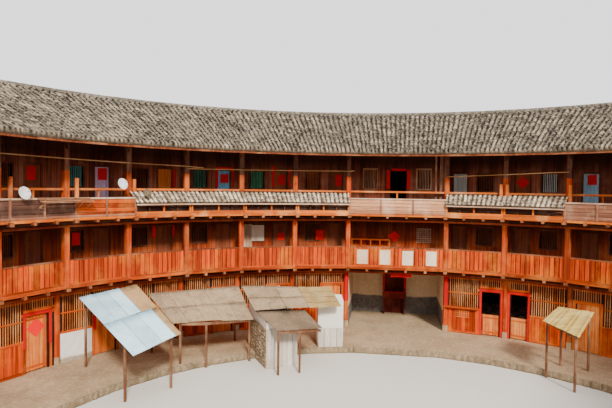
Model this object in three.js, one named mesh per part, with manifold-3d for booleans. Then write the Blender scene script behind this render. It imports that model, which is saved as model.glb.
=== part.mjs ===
// Tulou roundhouse: a ring house of rammed earth and timber round an open courtyard.
// Millimetres, +Z up. The origin is the centre of the ring at courtyard level. The ancestral hall is at +Y
// and the gate at -Y. Angles run clockwise from +Y, as they do for somebody who looks out from the courtyard.
import * as THREE from 'three';
import Module from 'manifold-3d';
import { mergeVertices } from 'three/addons/utils/BufferGeometryUtils.js';

const wasm = await Module();
wasm.setup();

// Bays: 32 columns, a wide hall bay, fifteen like bays on each side and the gate bay.
const HALL_HALF_ANGLE = 0.171;
const BAY_ANGLE = 0.191;
const COLUMNS = 32;
const SIDE_COLUMNS = 16;
const GATE_BAY = 16;

// Runs of columns that the long rings are split into.
const HALL_HALF = [-8, 7];
const GATE_HALF = [7, 24];
const WALL_RUNS = { hall: [-5, 4], right: [4, 15], gate: [15, 16], left: [16, 27] };

// Radii of the polygon corners, which lie on the column angles. The outer wall has WALL_STEPS sides a bay.
const APRON_EDGE = 10150;
const GALLERY = 12870;
const KITCHEN = 13450;
const ROOM_FRONT = 14120;
const WALL_INNER = 17420;
const WALL_OUTER = 18420;
const FOOTING_OUTER = 18540;
const WALL_STEPS = 2;
const OUTRIGGER_END = 12200;
const THIRD_DECK_EDGE = 12290;
const SECOND_JOIST_END = 12700;
const SECOND_DECK_EDGE = 12770;

// Heights.
const APRON_TOP = 250;
const PAD_TOP = 520;
const GROUND_BEAM = 2790;
const SECOND_JOIST = 2970;
const SECOND_DECK = 3090;
const SECOND_FLOOR = 3150;
const THIRD_BEAM = 5240;
const THIRD_JOIST = 5420;
const THIRD_DECK = 5540;
const THIRD_FLOOR = 5600;
const FOOTING_TOP = 900;
const WALL_BLANK_TOP = 9600;
const PLATE_BOTTOM = 8560;

// Roof: the inner and the outer slope meet at the ridge.
const EAVES_INNER = 11510;
const RIDGE = 15590;
const EAVES_OUTER = 19620;
const EAVES_SOFFIT = 8151;
const ROOF_SLOPE = 0.507;
const ROOF_THICKNESS = 180;
const ROOF_SEGMENTS = 48;
const ABOVE_ALL = 12000;
const RIDGE_CAP_HALF = 120;
const RIDGE_CAP_TOP = 10515;
const EAVES_BOARD = { thickness: 70, bottom: 8130, top: 8320 };

// Timber sections.
const POST_RADIUS = 110;
const GALLERY_POST = 200;
const POST_SIDES = 6;
const PAD_RADIUS = 140;
const BEAM_WIDTH = 200;
const COLUMN_JOIST_WIDTH = 170;
const PANEL = 60;
const GALLERY_PANEL = 40;
const RAIL_WIDTH = 90;
const RAIL_HEIGHT = 70;
const PLATE_WIDTH = 160;
const BALUSTRADE_TOP = 4090;
const PARAPET_TOP = 6304;
const PARAPET_RADIUS = 12310;
const PARAPET_POST = 60;
const INNER_RAIL_TOP = 6613;
const PENT = { outer: 12140, inner: 12750, low: 6070, high: 6490, thickness: 50, posts: [0.25, 0.75] };

// Openings of one like bay: fractions of the bay from its hall end, and heights above the floor.
const UPPER_DOOR = { from: 0.08, to: 0.30, sill: 0, head: 1850 };
const UPPER_WINDOW = { from: 0.48, to: 0.72, sill: 1080, head: 1850 };
const HALL_DOOR = { from: -560, to: 560, sill: 0, head: 2050 };
const HALL_WINDOW = { from: 960, to: 1540, sill: 1130, head: 2030 };
const KITCHEN_DOOR = { from: 0.10, to: 0.44, head: 2200 };
const KITCHEN_WINDOW = { from: 0.52, to: 0.94, sill: 1350, head: 2450 };
const WALL_WINDOW = { half: 280, fraction: 0.75, hallPlace: 2180, gatePlace: 1300, sill: 1150, head: 1800 };
const GATE_BAY_SCALE = 0.62;

// Doors that open: the front is split beside them.
const RIGHT_WINDOW = { from: 0.08, to: 0.52 };
const RIGHT_WINDOW_END = 0.57;
const RIGHT_DOORS = [{ bay: 1, from: 0.62, to: 0.92 }, { bay: 2, from: 0.08, to: 0.36 }];
const RIGHT_FRAME_END = 0.40;
const LEFT_DOOR = { bay: -6, from: 0.13, to: 0.47 };
const LEFT_FRAME = { from: 0.09, to: 0.51 };
const FRAME_SPLIT = 0.0003;
const LEAF = {
  thickness: 40, lap: 30, hinge: 10, gap: 6, bottom: 270, fullTop: 2220, halfTop: 1200, stileSides: 12,
  pin: 12, clear: 0.6,
};

// Hall and gate.
const HALL_BACK = 16400;
const HALL_WALL = 120;
const HALL_WALL_GAP = 20;
const HALL_WALL_TOP = 2960;
const ALTAR = { half: 560, depth: 420, under: 1080, table: 1430, top: 2420, frame: 70 };
const GATE = { half: 900, head: 2650, frame: 260, depth: 700, proud: 60, leaf: 70, leafTop: 2630, wallGap: 100 };

// Gap between pieces that touch, half the gap between runs, how far a cut runs past what it cuts, and how far
// two solids that are joined reach into each other.
const TOUCH = 0.3;
const JOIN = 0.2;
const CUT = 400;
const LAP = 1;

// Lean-tos in the courtyard: corners in plan, the heights of the low and the high edge, and the posts with the
// height that each one stands on. A rail ties each post to the next, or lies where rails are given.
const SHEET = 30;
const POLE = 70;
const ON_APRON = APRON_TOP + TOUCH;
const BLUE_CANOPY = {
  low: 1650, high: 2750,
  corners: [[-7890, 3180], [-7160, 5150], [-10080, 7760], [-11180, 5620]],
  posts: [[-8400, 3680, 0], [-7450, 5000, 0], [-10000, 7550, ON_APRON], [-10950, 5700, ON_APRON]],
};
const GREY_ROOF = {
  low: 1650, high: 2500,
  corners: [[-8000, 6420], [-5420, 8120], [-6640, 10090], [-9550, 7620]],
  posts: [
    [-7800, 6660, ON_APRON], [-6980, 7140, 0], [-5600, 8170, 0], [-6680, 9850, ON_APRON],
    [-9350, 7620, ON_APRON],
  ],
};
const SHED_ROOF = {
  low: 1990, high: 2530,
  corners: [[-5310, 7800], [-2150, 9300], [-2780, 10820], [-6340, 9560]],
};
const LOW_ROOF = {
  low: 1540, high: 1900,
  corners: [[-4240, 6770], [-2710, 7610], [-3650, 8986], [-5385, 8050]],
  posts: [[-4190, 6870, 0], [-3480, 7260, 0]],
  rails: [[[-4190, 6870], [-2770, 7650]]],
};
const MAT_AWNING = {
  low: 1950, high: 2350,
  corners: [[5940, 7000], [5180, 8400], [6010, 9430], [7010, 8720]],
  posts: [[5900, 7150, 0], [5350, 8450, 0], [6050, 9150, ON_APRON], [6850, 8700, ON_APRON]],
};
const SHED = {
  outline: [[-4740, 7360], [-5950, 9400], [-4850, 10250], [-3720, 8120]],
  inside: [[-4700, 7540], [-5770, 9350], [-4900, 10060], [-3880, 8180]],
};
const PLASTER_SCREEN = { from: 0.21, to: 0.74, front: 10200, back: 10700 };

// Colours, and one material of each kind.
const finish = (color, roughness, metalness = 0) => new THREE.MeshStandardMaterial({ color, roughness, metalness });
const EARTH = finish(0xb08d62, 0.95);
const STONE = finish(0xa5968a, 0.9);
const ORANGE_TIMBER = finish(0xc05a24, 0.75);
const BROWN_TIMBER = finish(0x6a3a26, 0.8);
const GREY_TIMBER = finish(0xaa8c78, 0.85);
const FASCIA = finish(0x965032, 0.8);
const TILES = finish(0x736960, 0.9);
const PALE_TILES = finish(0xc0b09a, 0.9);
const PLASTER = finish(0xefeee8, 0.9);
const DARK_PLASTER = finish(0x6e5f50, 0.9);
const RED_PAINT = finish(0xc81414, 0.6);
const BLUE_SHEET = finish(0xa0c3d7, 0.45, 0.4);
const GREY_SHEET = finish(0x968778, 0.7, 0.2);
const STRAW = finish(0xc8a95a, 0.95);

// Angle of a column; column 0 stands right of the hall and column -1 left of it.
function columnAngle(column) {
  if (column >= SIDE_COLUMNS) return columnAngle(column - COLUMNS) + 2 * Math.PI;
  if (column < 0) return -columnAngle(-1 - column);
  return HALL_HALF_ANGLE + column * BAY_ANGLE;
}

// A point in plan at a radius and a clockwise angle from +Y.
function polar(radius, angle) {
  return [radius * Math.sin(angle), radius * Math.cos(angle)];
}

// The frame of a bay: its middle angle, half angle, and +1 right or -1 left of the hall.
function bayFrame(bay) {
  const from = columnAngle(bay - 1);
  const to = columnAngle(bay);
  const side = Math.sin((from + to) / 2) < 0 ? -1 : 1;
  return { middle: (from + to) / 2, half: (to - from) / 2, side };
}

// A point of a bay: along its chord from the middle, and outward as a polygon radius.
function bayPoint(bay, along, radius) {
  const { middle, half } = bayFrame(bay);
  const outward = radius * Math.cos(half);
  return [
    outward * Math.sin(middle) + along * Math.cos(middle),
    outward * Math.cos(middle) - along * Math.sin(middle),
  ];
}

// Distance along the chord for a fraction of the bay counted from its hall end.
function alongBay(bay, fraction, radius) {
  const { half, side } = bayFrame(bay);
  return side * (fraction - 0.5) * 2 * radius * Math.sin(half);
}

// A closed geometry as a solid for joining and cutting.
function solidOf(geometry) {
  const bare = geometry.index ? geometry.toNonIndexed() : geometry.clone();
  bare.deleteAttribute('normal');
  bare.deleteAttribute('uv');
  const merged = mergeVertices(bare);
  const vertProperties = new Float32Array(merged.attributes.position.array);
  const triVerts = new Uint32Array(merged.index.array);
  return new wasm.Manifold(new wasm.Mesh({ numProp: 3, vertProperties, triVerts }));
}

// An upright prism whose foot and head are heights or functions of the place in plan.
function prism(outline, bottom, top) {
  const shape = new THREE.Shape(outline.map(([x, y]) => new THREE.Vector2(x, y)));
  const geometry = new THREE.ExtrudeGeometry(shape, { depth: 1, bevelEnabled: false });
  const position = geometry.attributes.position;
  const heightAt = (level, x, y) => (typeof level === 'function' ? level(x, y) : level);
  for (let i = 0; i < position.count; i += 1) {
    const level = position.getZ(i) > 0.5 ? top : bottom;
    position.setZ(i, heightAt(level, position.getX(i), position.getY(i)));
  }
  return solidOf(geometry);
}

// Outline of a run of straight bays between two radii, with `steps` chords a bay on the outer side.
function runOutline([from, to], inner, outer, steps = 1) {
  const edge = (radius, count) => {
    const points = [];
    for (let column = from; column < to; column += 1) {
      const start = columnAngle(column);
      const turn = columnAngle(column + 1) - start;
      for (let step = 0; step < count; step += 1) points.push(polar(radius, start + (turn * step) / count));
    }
    points.push(polar(radius, columnAngle(to)));
    const trim = JOIN / radius;
    points[0] = polar(radius, columnAngle(from) + trim);
    points[points.length - 1] = polar(radius, columnAngle(to) - trim);
    return points;
  };
  return [...edge(outer, steps), ...edge(inner, 1).reverse()];
}

function runSlab(run, inner, outer, bottom, top, steps = 1) {
  return prism(runOutline(run, inner, outer, steps), bottom, top);
}

// A box in the frame of a bay, between two distances along it and two polygon radii.
function bayBox(bay, along, inner, outer, bottom, top) {
  const [first, last] = along;
  const corners = [[first, inner], [first, outer], [last, outer], [last, inner]];
  return prism(corners.map(([a, r]) => bayPoint(bay, a, r)), bottom, top);
}

function fractionBox(bay, from, to, inner, outer, bottom, top) {
  const along = [alongBay(bay, from, inner), alongBay(bay, to, inner)];
  return bayBox(bay, along, inner, outer, bottom, top);
}

// An upright round post or pad.
function post(x, y, radius, bottom, top, sides = POST_SIDES) {
  const height = top - bottom;
  const geometry = new THREE.CylinderGeometry(radius, radius, height, sides);
  geometry.rotateX(Math.PI / 2);
  geometry.translate(x, y, bottom + height / 2);
  return solidOf(geometry);
}

// A ring turned about the vertical axis from a closed profile of radius and height.
function turnedRing(profile) {
  const closed = [...profile, profile[0]];
  const geometry = new THREE.LatheGeometry(closed.map(([r, z]) => new THREE.Vector2(r, z)), ROOF_SEGMENTS);
  geometry.rotateX(Math.PI / 2);
  return solidOf(geometry);
}

function roofSoffit(radius) {
  const fromRidge = Math.abs(radius - RIDGE);
  return EAVES_SOFFIT + ROOF_SLOPE * (RIDGE - EAVES_INNER - fromRidge);
}

function roofRing() {
  const low = [EAVES_INNER, RIDGE, EAVES_OUTER].map((r) => [r, roofSoffit(r)]);
  const high = low.map(([r, z]) => [r, z + ROOF_THICKNESS]).reverse();
  return turnedRing([...low, ...high]);
}

// Everything over the roof's underside, to cut walls and posts that reach it.
function aboveSoffit() {
  const reach = [EAVES_INNER - CUT, RIDGE, EAVES_OUTER + CUT];
  const low = reach.map((r) => [r, roofSoffit(r) - TOUCH]);
  return turnedRing([...low, [reach[2], ABOVE_ALL], [reach[0], ABOVE_ALL]]);
}

const aboveRoof = aboveSoffit();

// The sector of the house that a run of columns takes, to cut whole rings into halves.
function sector(run) {
  const reach = 2 * EAVES_OUTER;
  const trim = JOIN / EAVES_OUTER;
  const [from, to] = [columnAngle(run[0]) + trim, columnAngle(run[1]) - trim];
  const parts = 8;
  const rim = Array.from({ length: parts + 1 }, (_, i) => polar(reach, from + ((to - from) * i) / parts));
  return prism([[0, 0], ...rim], -TOUCH, ABOVE_ALL);
}

// The columns of a run, without its last one.
function runColumns([from, to]) {
  return Array.from({ length: to - from }, (_, i) => from + i);
}

// The columns that a half of the house carries: the hall half has those where the halves meet.
function carriedColumns(run) {
  const between = runColumns(run).slice(1);
  return run === HALL_HALF ? [run[0], ...between, run[1]] : between;
}

// The columns of the other half that stand at the ends of a half.
function metColumns(run) {
  return run === HALL_HALF ? [] : run;
}

function runBays([from, to]) {
  return Array.from({ length: to - from }, (_, i) => from + 1 + i);
}

const group = new THREE.Group();

function add(name, solid, material) {
  const { vertProperties, triVerts } = solid.getMesh();
  const geometry = new THREE.BufferGeometry();
  geometry.setAttribute('position', new THREE.BufferAttribute(vertProperties, 3));
  geometry.setIndex(new THREE.BufferAttribute(triVerts, 1));
  const mesh = new THREE.Mesh(geometry, material);
  mesh.name = name;
  group.add(mesh);
}

function isWideBay(bay) {
  return bay === 0 || bay === GATE_BAY || bay === -GATE_BAY;
}

const WHOLE_RING = [-SIDE_COLUMNS, SIDE_COLUMNS];

// A whole polygon ring between two radii.
function wholeRing(inner, outer, bottom, top) {
  const corners = (radius) => runColumns(WHOLE_RING).map((column) => polar(radius, columnAngle(column)));
  return prism(corners(outer), bottom, top).subtract(prism(corners(inner), bottom - LAP, top + LAP));
}

// The apron's own space, to keep walls that start in the courtyard off it.
function apronSpace() {
  return wholeRing(APRON_EDGE - TOUCH, WALL_INNER, -LAP, ON_APRON);
}

// Ground floor platform with its apron, and a stone pad under each column.
function stonePlatform() {
  let platform = wholeRing(APRON_EDGE, WALL_INNER - TOUCH, 0, APRON_TOP);
  for (const column of runColumns(WHOLE_RING)) {
    const [x, y] = polar(KITCHEN, columnAngle(column));
    platform = platform.add(post(x, y, PAD_RADIUS, APRON_TOP - LAP, PAD_TOP));
  }
  return platform;
}

function gateOpening() {
  const reach = GATE.half + GATE.frame;
  return bayBox(GATE_BAY, [-reach, reach], WALL_INNER - CUT, FOOTING_OUTER + CUT, -LAP, GATE.head + GATE.frame);
}

// Stone footing under the earth wall, open at the gate.
function stoneFooting() {
  const run = [GATE_BAY - COLUMNS, GATE_BAY];
  const outline = (radius, steps) => runOutline(run, radius, radius, steps).slice(0, COLUMNS * steps);
  const ring = prism(outline(FOOTING_OUTER, WALL_STEPS), 0, FOOTING_TOP);
  return ring.subtract(prism(outline(WALL_INNER, 1), -LAP, FOOTING_TOP + LAP)).subtract(gateOpening());
}

// Middle of the small window in the earth wall, along its bay.
function wallWindowPlace(bay) {
  if (bay === 0) return WALL_WINDOW.hallPlace;
  return bay === GATE_BAY ? WALL_WINDOW.gatePlace : alongBay(bay, WALL_WINDOW.fraction, WALL_INNER);
}

// Rammed earth wall with one small window a bay on the two upper storeys.
function earthWall(run) {
  let wall = runSlab(run, WALL_INNER, WALL_OUTER, FOOTING_TOP + TOUCH, WALL_BLANK_TOP, WALL_STEPS);
  for (const bay of runBays(run)) {
    for (const floor of [SECOND_FLOOR, THIRD_FLOOR]) {
      const middle = wallWindowPlace(bay);
      const along = [middle - WALL_WINDOW.half, middle + WALL_WINDOW.half];
      const reach = [WALL_INNER - CUT, WALL_OUTER + CUT];
      wall = wall.subtract(bayBox(bay, along, ...reach, floor + WALL_WINDOW.sill, floor + WALL_WINDOW.head));
    }
  }
  return wall.subtract(gateOpening()).subtract(aboveRoof);
}

// One floor: a ring beam, a stout joist at each column, and the boards.
function floorDeck(run, { beamRadius, beam, joist, deck, top, joistEnd, deckEdge }) {
  const outer = WALL_INNER - TOUCH;
  const reach = BEAM_WIDTH / 2;
  const joistAt = (column, slack) => columnBlock(
    column, COLUMN_JOIST_WIDTH + 2 * slack, joistEnd - slack, beamRadius + slack, joist - slack, deck + LAP + slack,
  );
  let floor = runSlab(run, deckEdge, outer, deck, top);
  floor = floor.add(runSlab(run, beamRadius - reach, beamRadius + reach, beam, joist + LAP));
  for (const column of carriedColumns(run)) floor = floor.add(joistAt(column, 0));
  for (const column of metColumns(run)) floor = floor.subtract(joistAt(column, TOUCH));
  return floor;
}

// A block that lies or stands on a column's radial line.
function columnBlock(column, width, inner, outer, bottom, top) {
  const angle = columnAngle(column);
  const place = ([along, radius]) => [
    radius * Math.sin(angle) + along * Math.cos(angle),
    radius * Math.cos(angle) - along * Math.sin(angle),
  ];
  const side = width / 2;
  const corners = [[-side, inner], [-side, outer], [side, outer], [side, inner]];
  return prism(corners.map(place), bottom, top);
}

// Joins a half's gallery columns to its rails, and cuts the rails off the other half's columns.
function withColumns(rails, run, bottom, top) {
  const columnAt = (column, slack) => {
    const reach = GALLERY_POST / 2 + slack;
    return columnBlock(column, 2 * reach, GALLERY - reach, GALLERY + reach, bottom, top);
  };
  let gallery = rails;
  for (const column of carriedColumns(run)) gallery = gallery.add(columnAt(column, 0));
  for (const column of metColumns(run)) gallery = gallery.subtract(columnAt(column, TOUCH));
  return gallery;
}

// Second floor gallery: plank balustrade fused to the columns.
function secondGallery(run) {
  const bottom = SECOND_FLOOR + TOUCH;
  const reach = GALLERY_PANEL / 2;
  const rails = runSlab(run, GALLERY - reach, GALLERY + reach, bottom, BALUSTRADE_TOP);
  return withColumns(rails, run, bottom, THIRD_BEAM - TOUCH);
}

// Third floor gallery: columns up to the roof, their head plate and the inner rail.
function thirdGallery(run) {
  const ring = (bottom, top, width) => runSlab(run, GALLERY - width / 2, GALLERY + width / 2, bottom, top);
  const plate = ring(PLATE_BOTTOM, WALL_BLANK_TOP, PLATE_WIDTH);
  const rail = ring(INNER_RAIL_TOP - RAIL_HEIGHT, INNER_RAIL_TOP, RAIL_WIDTH);
  return withColumns(plate.add(rail), run, THIRD_FLOOR + TOUCH, WALL_BLANK_TOP).subtract(aboveRoof);
}

// A plank room front with a door and a window a bay.
function roomFront(run, floor, top) {
  let front = runSlab(run, ROOM_FRONT, ROOM_FRONT + PANEL, floor + TOUCH, top);
  for (const bay of runBays(run)) {
    for (const hole of roomHoles(bay)) {
      const reach = [ROOM_FRONT - CUT, ROOM_FRONT + PANEL + CUT];
      const sill = hole.sill > 0 ? floor + hole.sill : floor - LAP;
      front = front.subtract(bayBox(bay, [hole.from, hole.to], ...reach, sill, floor + hole.head));
    }
  }
  return front;
}

function roomHoles(bay) {
  if (isWideBay(bay)) {
    const mirrored = { ...HALL_WINDOW, from: -HALL_WINDOW.to, to: -HALL_WINDOW.from };
    const scale = bay === 0 ? 1 : GATE_BAY_SCALE;
    const fit = (hole) => ({ ...hole, from: hole.from * scale, to: hole.to * scale });
    return [HALL_DOOR, HALL_WINDOW, mirrored].map(fit);
  }
  return [UPPER_DOOR, UPPER_WINDOW].map((hole) => {
    const ends = [hole.from, hole.to].map((fraction) => alongBay(bay, fraction, ROOM_FRONT));
    return { ...hole, from: Math.min(...ends), to: Math.max(...ends) };
  });
}

// Kitchen front between ground columns: panels with a door and a bar window a bay.
function kitchenPanels(bay, from, to, withDoor) {
  const [inner, outer] = [KITCHEN - PANEL / 2, KITCHEN + PANEL / 2];
  const box = (start, end, bottom, top, slack) => fractionBox(
    bay, start, end, inner - slack, outer + slack, bottom, top,
  );
  const panel = box(from, to, ON_APRON, GROUND_BEAM - TOUCH, 0);
  const { from: start, to: end, sill, head } = KITCHEN_WINDOW;
  const lit = panel.subtract(box(start, end, sill, head, CUT));
  return withDoor ? lit.subtract(box(KITCHEN_DOOR.from, KITCHEN_DOOR.to, 0, KITCHEN_DOOR.head, CUT)) : lit;
}

function kitchenColumn(column) {
  const [x, y] = polar(KITCHEN, columnAngle(column));
  return post(x, y, POST_RADIUS, PAD_TOP + TOUCH, GROUND_BEAM - TOUCH);
}

// Everything that the stone pads fill, to keep the panels off them.
function padSpace(column) {
  const [x, y] = polar(KITCHEN, columnAngle(column));
  return post(x, y, PAD_RADIUS + TOUCH, 0, PAD_TOP + TOUCH);
}

// A run of kitchen front from one bay to another, with its columns.
function kitchenRun(bays, columns, ends = {}) {
  const { first = 0, last = 1 } = ends;
  let front = null;
  for (const bay of bays) {
    const from = bay === bays[0] ? first : 0;
    const to = bay === bays[bays.length - 1] ? last : 1;
    const panel = kitchenPanels(bay, from, to, from < KITCHEN_DOOR.from);
    front = front ? front.add(panel) : panel;
  }
  for (const column of columns) front = front.add(kitchenColumn(column));
  for (const column of columns) front = front.subtract(padSpace(column));
  return front;
}

const rightBays = Array.from({ length: 14 }, (_, i) => 2 + i);
const leftNearBays = [-1, -2, -3, -4, -5, -6];
const leftFarBays = Array.from({ length: 10 }, (_, i) => -6 - i);

// The stretch right of the hall with its bar window, up to the red frames.
function rightEndFront() {
  const box = (from, to, bottom, top, slack) => fractionBox(
    1, from, to, KITCHEN - PANEL / 2 - slack, KITCHEN + PANEL / 2 + slack, bottom, top,
  );
  const front = box(0, RIGHT_WINDOW_END, ON_APRON, GROUND_BEAM - TOUCH, 0);
  const windowHole = box(RIGHT_WINDOW.from, RIGHT_WINDOW.to, KITCHEN_WINDOW.sill, KITCHEN_WINDOW.head, CUT);
  return front.add(kitchenColumn(0)).subtract(windowHole).subtract(padSpace(0));
}

// Red frames round the two half doors, one on each side of column 1.
function rightDoorFrames() {
  const depth = PANEL / 2;
  const box = (bay, from, to, bottom, top, slack) => fractionBox(
    bay, from, to, KITCHEN - depth - slack, KITCHEN + depth + slack, bottom, top,
  );
  const [foot, head] = [ON_APRON, GROUND_BEAM - TOUCH];
  let frames = box(1, RIGHT_WINDOW_END + FRAME_SPLIT, 1, foot, head, 0);
  frames = frames.add(box(2, 0, RIGHT_FRAME_END - FRAME_SPLIT, foot, head, 0)).add(kitchenColumn(1));
  for (const { bay, from, to } of RIGHT_DOORS) {
    frames = frames.subtract(box(bay, from, to, 0, KITCHEN_DOOR.head, CUT));
  }
  return frames.subtract(padSpace(1));
}

// The red frame of the left door.
function leftDoorFrame() {
  const depth = PANEL / 2;
  const box = (from, to, bottom, top, slack) => fractionBox(
    LEFT_DOOR.bay, from, to, KITCHEN - depth - slack, KITCHEN + depth + slack, bottom, top,
  );
  const [start, end] = [LEFT_FRAME.from + FRAME_SPLIT, LEFT_FRAME.to - FRAME_SPLIT];
  const blank = box(start, end, ON_APRON, GROUND_BEAM - TOUCH, 0);
  return blank.subtract(box(LEFT_DOOR.from, LEFT_DOOR.to, 0, KITCHEN_DOOR.head, CUT));
}

// Place of a door's upright hinge axis, and how far the leaf reaches from it along the bay.
function doorPlace({ bay, from, to }, hingeAt) {
  const radius = KITCHEN + (PANEL / 2 + LEAF.gap + LEAF.thickness / 2) / Math.cos(bayFrame(bay).half);
  const ends = { from: alongBay(bay, from, KITCHEN), to: alongBay(bay, to, KITCHEN) };
  const far = hingeAt === 'from' ? ends.to : ends.from;
  const direction = Math.sign(far - ends[hingeAt]);
  return { radius, hinge: ends[hingeAt] - direction * LEAF.hinge, far: far + direction * LEAF.lap };
}

// A leaf hung behind its frame on a round stile, with a pin that stands on the stone.
function doorLeaf(door, hingeAt, top) {
  const { radius, hinge, far } = doorPlace(door, hingeAt);
  const depth = LEAF.thickness / 2 / Math.cos(bayFrame(door.bay).half);
  const [x, y] = bayPoint(door.bay, hinge, radius);
  const board = bayBox(door.bay, [hinge, far], radius - depth, radius + depth, LEAF.bottom, top);
  const stile = post(x, y, LEAF.thickness / 2, LEAF.bottom, top, LEAF.stileSides);
  const pin = post(x, y, LEAF.pin, APRON_TOP + LEAF.clear, LEAF.bottom + LAP);
  return board.add(stile).add(pin);
}

// Parapet run on the ends of the outriggers: boards with a top rail.
function parapet(run) {
  const ring = (width, bottom, top) => runSlab(
    run, PARAPET_RADIUS, PARAPET_RADIUS + width, bottom, top,
  );
  const boards = ring(GALLERY_PANEL, THIRD_FLOOR + TOUCH, PARAPET_TOP);
  return boards.add(ring(RAIL_WIDTH, PARAPET_TOP - PARAPET_POST, PARAPET_TOP));
}

// Pent roof run: one sloping slab a bay, carried by short posts on the deck edge.
function pentRoof(run) {
  let roof = null;
  for (const bay of runBays(run)) {
    const { middle, half } = bayFrame(bay);
    const slope = (PENT.high - PENT.low) / (PENT.inner - PENT.outer);
    const outward = (x, y) => (x * Math.sin(middle) + y * Math.cos(middle)) / Math.cos(half);
    const soffit = (x, y) => PENT.low - PENT.thickness + slope * (outward(x, y) - PENT.outer);
    const top = (x, y) => soffit(x, y) + PENT.thickness;
    const slab = prism(bayOutline(bay, run, PENT.outer, PENT.inner), soffit, top);
    roof = roof ? roof.add(slab) : slab;
    for (const fraction of PENT.posts) {
      const place = alongBay(bay, fraction, PARAPET_RADIUS);
      const along = [place - PARAPET_POST / 2, place + PARAPET_POST / 2];
      const faces = [PARAPET_RADIUS, PARAPET_RADIUS + PARAPET_POST];
      const head = (x, y) => soffit(x, y) + LAP;
      roof = roof.add(bayBox(bay, along, ...faces, THIRD_FLOOR + TOUCH, head));
    }
  }
  return roof;
}

// Plan of one bay between two radii, trimmed at the ends of its run.
function bayOutline(bay, [from, to], inner, outer) {
  const start = (radius) => columnAngle(bay - 1) + (bay - 1 === from ? JOIN / radius : 0);
  const end = (radius) => columnAngle(bay) - (bay === to ? JOIN / radius : 0);
  return [polar(inner, start(inner)), polar(outer, start(outer)), polar(outer, end(outer)), polar(inner, end(inner))];
}

// Ancestral hall: plastered back and side walls round the open bay.
function hallWalls() {
  const [side, front] = polar(KITCHEN, HALL_HALF_ANGLE);
  const clear = side - HALL_WALL;
  const start = front + PAD_RADIUS + HALL_WALL_GAP;
  const outline = (reach, back, from) => [[-reach, from], [-reach, back], [reach, back], [reach, from]];
  const shell = prism(outline(clear + HALL_WALL, HALL_BACK + HALL_WALL, start), ON_APRON, HALL_WALL_TOP);
  return shell.subtract(prism(outline(clear, HALL_BACK, start - CUT), 0, HALL_WALL_TOP + LAP));
}

// Altar: a table on two side panels with a framed niche over it, against the back wall.
function hallAltar() {
  const { half: side, depth, under, table, top, frame } = ALTAR;
  const back = HALL_BACK - TOUCH;
  const box = (x, y0, y1, z0, z1) => prism([[-x, y0], [-x, y1], [x, y1], [x, y0]], z0, z1);
  const block = box(side, back - depth, back, ON_APRON, table);
  const legRoom = box(side - frame, back - depth - CUT, back - frame, ON_APRON - LAP, under);
  const niche = box(side, back - depth / 2, back, table - LAP, top);
  const hollow = box(side - frame, back - depth, back - frame, table + frame, top - frame);
  return block.subtract(legRoom).add(niche.subtract(hollow));
}

// Stone door frame of the gate.
function gateFrame() {
  const outer = GATE.half + GATE.frame - TOUCH;
  const [back, front] = [WALL_OUTER - GATE.depth, WALL_OUTER + GATE.proud];
  const ring = bayBox(GATE_BAY, [-outer, outer], back, front, 0, GATE.head + GATE.frame - TOUCH);
  return ring.subtract(bayBox(GATE_BAY, [-GATE.half, GATE.half], back - CUT, front + CUT, -LAP, GATE.head));
}

// One of the two leaves, which stand open along the passage behind the stone frame.
function gateLeaf(side) {
  const back = WALL_OUTER - GATE.depth - TOUCH;
  const along = [side * GATE.half, side * (GATE.half + GATE.leaf)];
  const inner = back - GATE.half;
  return bayBox(GATE_BAY, [Math.min(...along), Math.max(...along)], inner, back, APRON_TOP + LAP, GATE.leafTop);
}

// Plank wall on one side of the gate passage.
function passageWall(side) {
  const reach = GATE.half + GATE.frame + GATE.wallGap;
  const along = [side * reach, side * (reach + PANEL)];
  const faces = [KITCHEN + 2 * PAD_RADIUS, WALL_INNER - TOUCH];
  return bayBox(GATE_BAY, [Math.min(...along), Math.max(...along)], ...faces, ON_APRON, SECOND_JOIST - TOUCH);
}

// The plane through a lean-to's edges: corners 0 and 1 are low, corners 2 and 3 are high.
function leanPlane({ low, high, corners }) {
  const middle = (a, b) => [(a[0] + b[0]) / 2, (a[1] + b[1]) / 2];
  const foot = middle(corners[0], corners[1]);
  const head = middle(corners[2], corners[3]);
  const run = [head[0] - foot[0], head[1] - foot[1]];
  const length = Math.hypot(...run);
  return (x, y) => low + ((high - low) * ((x - foot[0]) * run[0] + (y - foot[1]) * run[1])) / length ** 2;
}

function leanSheet(lean) {
  const plane = leanPlane(lean);
  return prism(lean.corners, plane, (x, y) => plane(x, y) + SHEET);
}

// A frame under a lean-to: its posts and the rails that tie them.
function leanFrame(lean) {
  const { posts } = lean;
  const under = underside(lean);
  const square = ([x, y]) => [[-1, -1], [1, -1], [1, 1], [-1, 1]].map(([a, b]) => [
    x + (a * POLE) / 2, y + (b * POLE) / 2,
  ]);
  let frame = null;
  const join = (solid) => { frame = frame ? frame.add(solid) : solid; };
  for (const [x, y, foot] of posts) join(prism(square([x, y]), foot, under));
  const rail = (a, b) => {
    const length = Math.hypot(b[0] - a[0], b[1] - a[1]);
    const across = [((b[1] - a[1]) / length) * (POLE / 2), (-(b[0] - a[0]) / length) * (POLE / 2)];
    const outline = [[a[0] - across[0], a[1] - across[1]], [b[0] - across[0], b[1] - across[1]],
      [b[0] + across[0], b[1] + across[1]], [a[0] + across[0], a[1] + across[1]]];
    join(prism(outline, (x, y) => under(x, y) - POLE, under));
  };
  const ring = posts.map((spot, i) => [spot, posts[(i + 1) % posts.length]]);
  for (const [from, to] of lean.rails ?? ring) rail(from, to);
  return frame;
}

// The underside of a lean-to's sheet, which the walls below it reach.
function underside(lean) {
  const plane = leanPlane(lean);
  return (x, y) => plane(x, y) - TOUCH;
}

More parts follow.
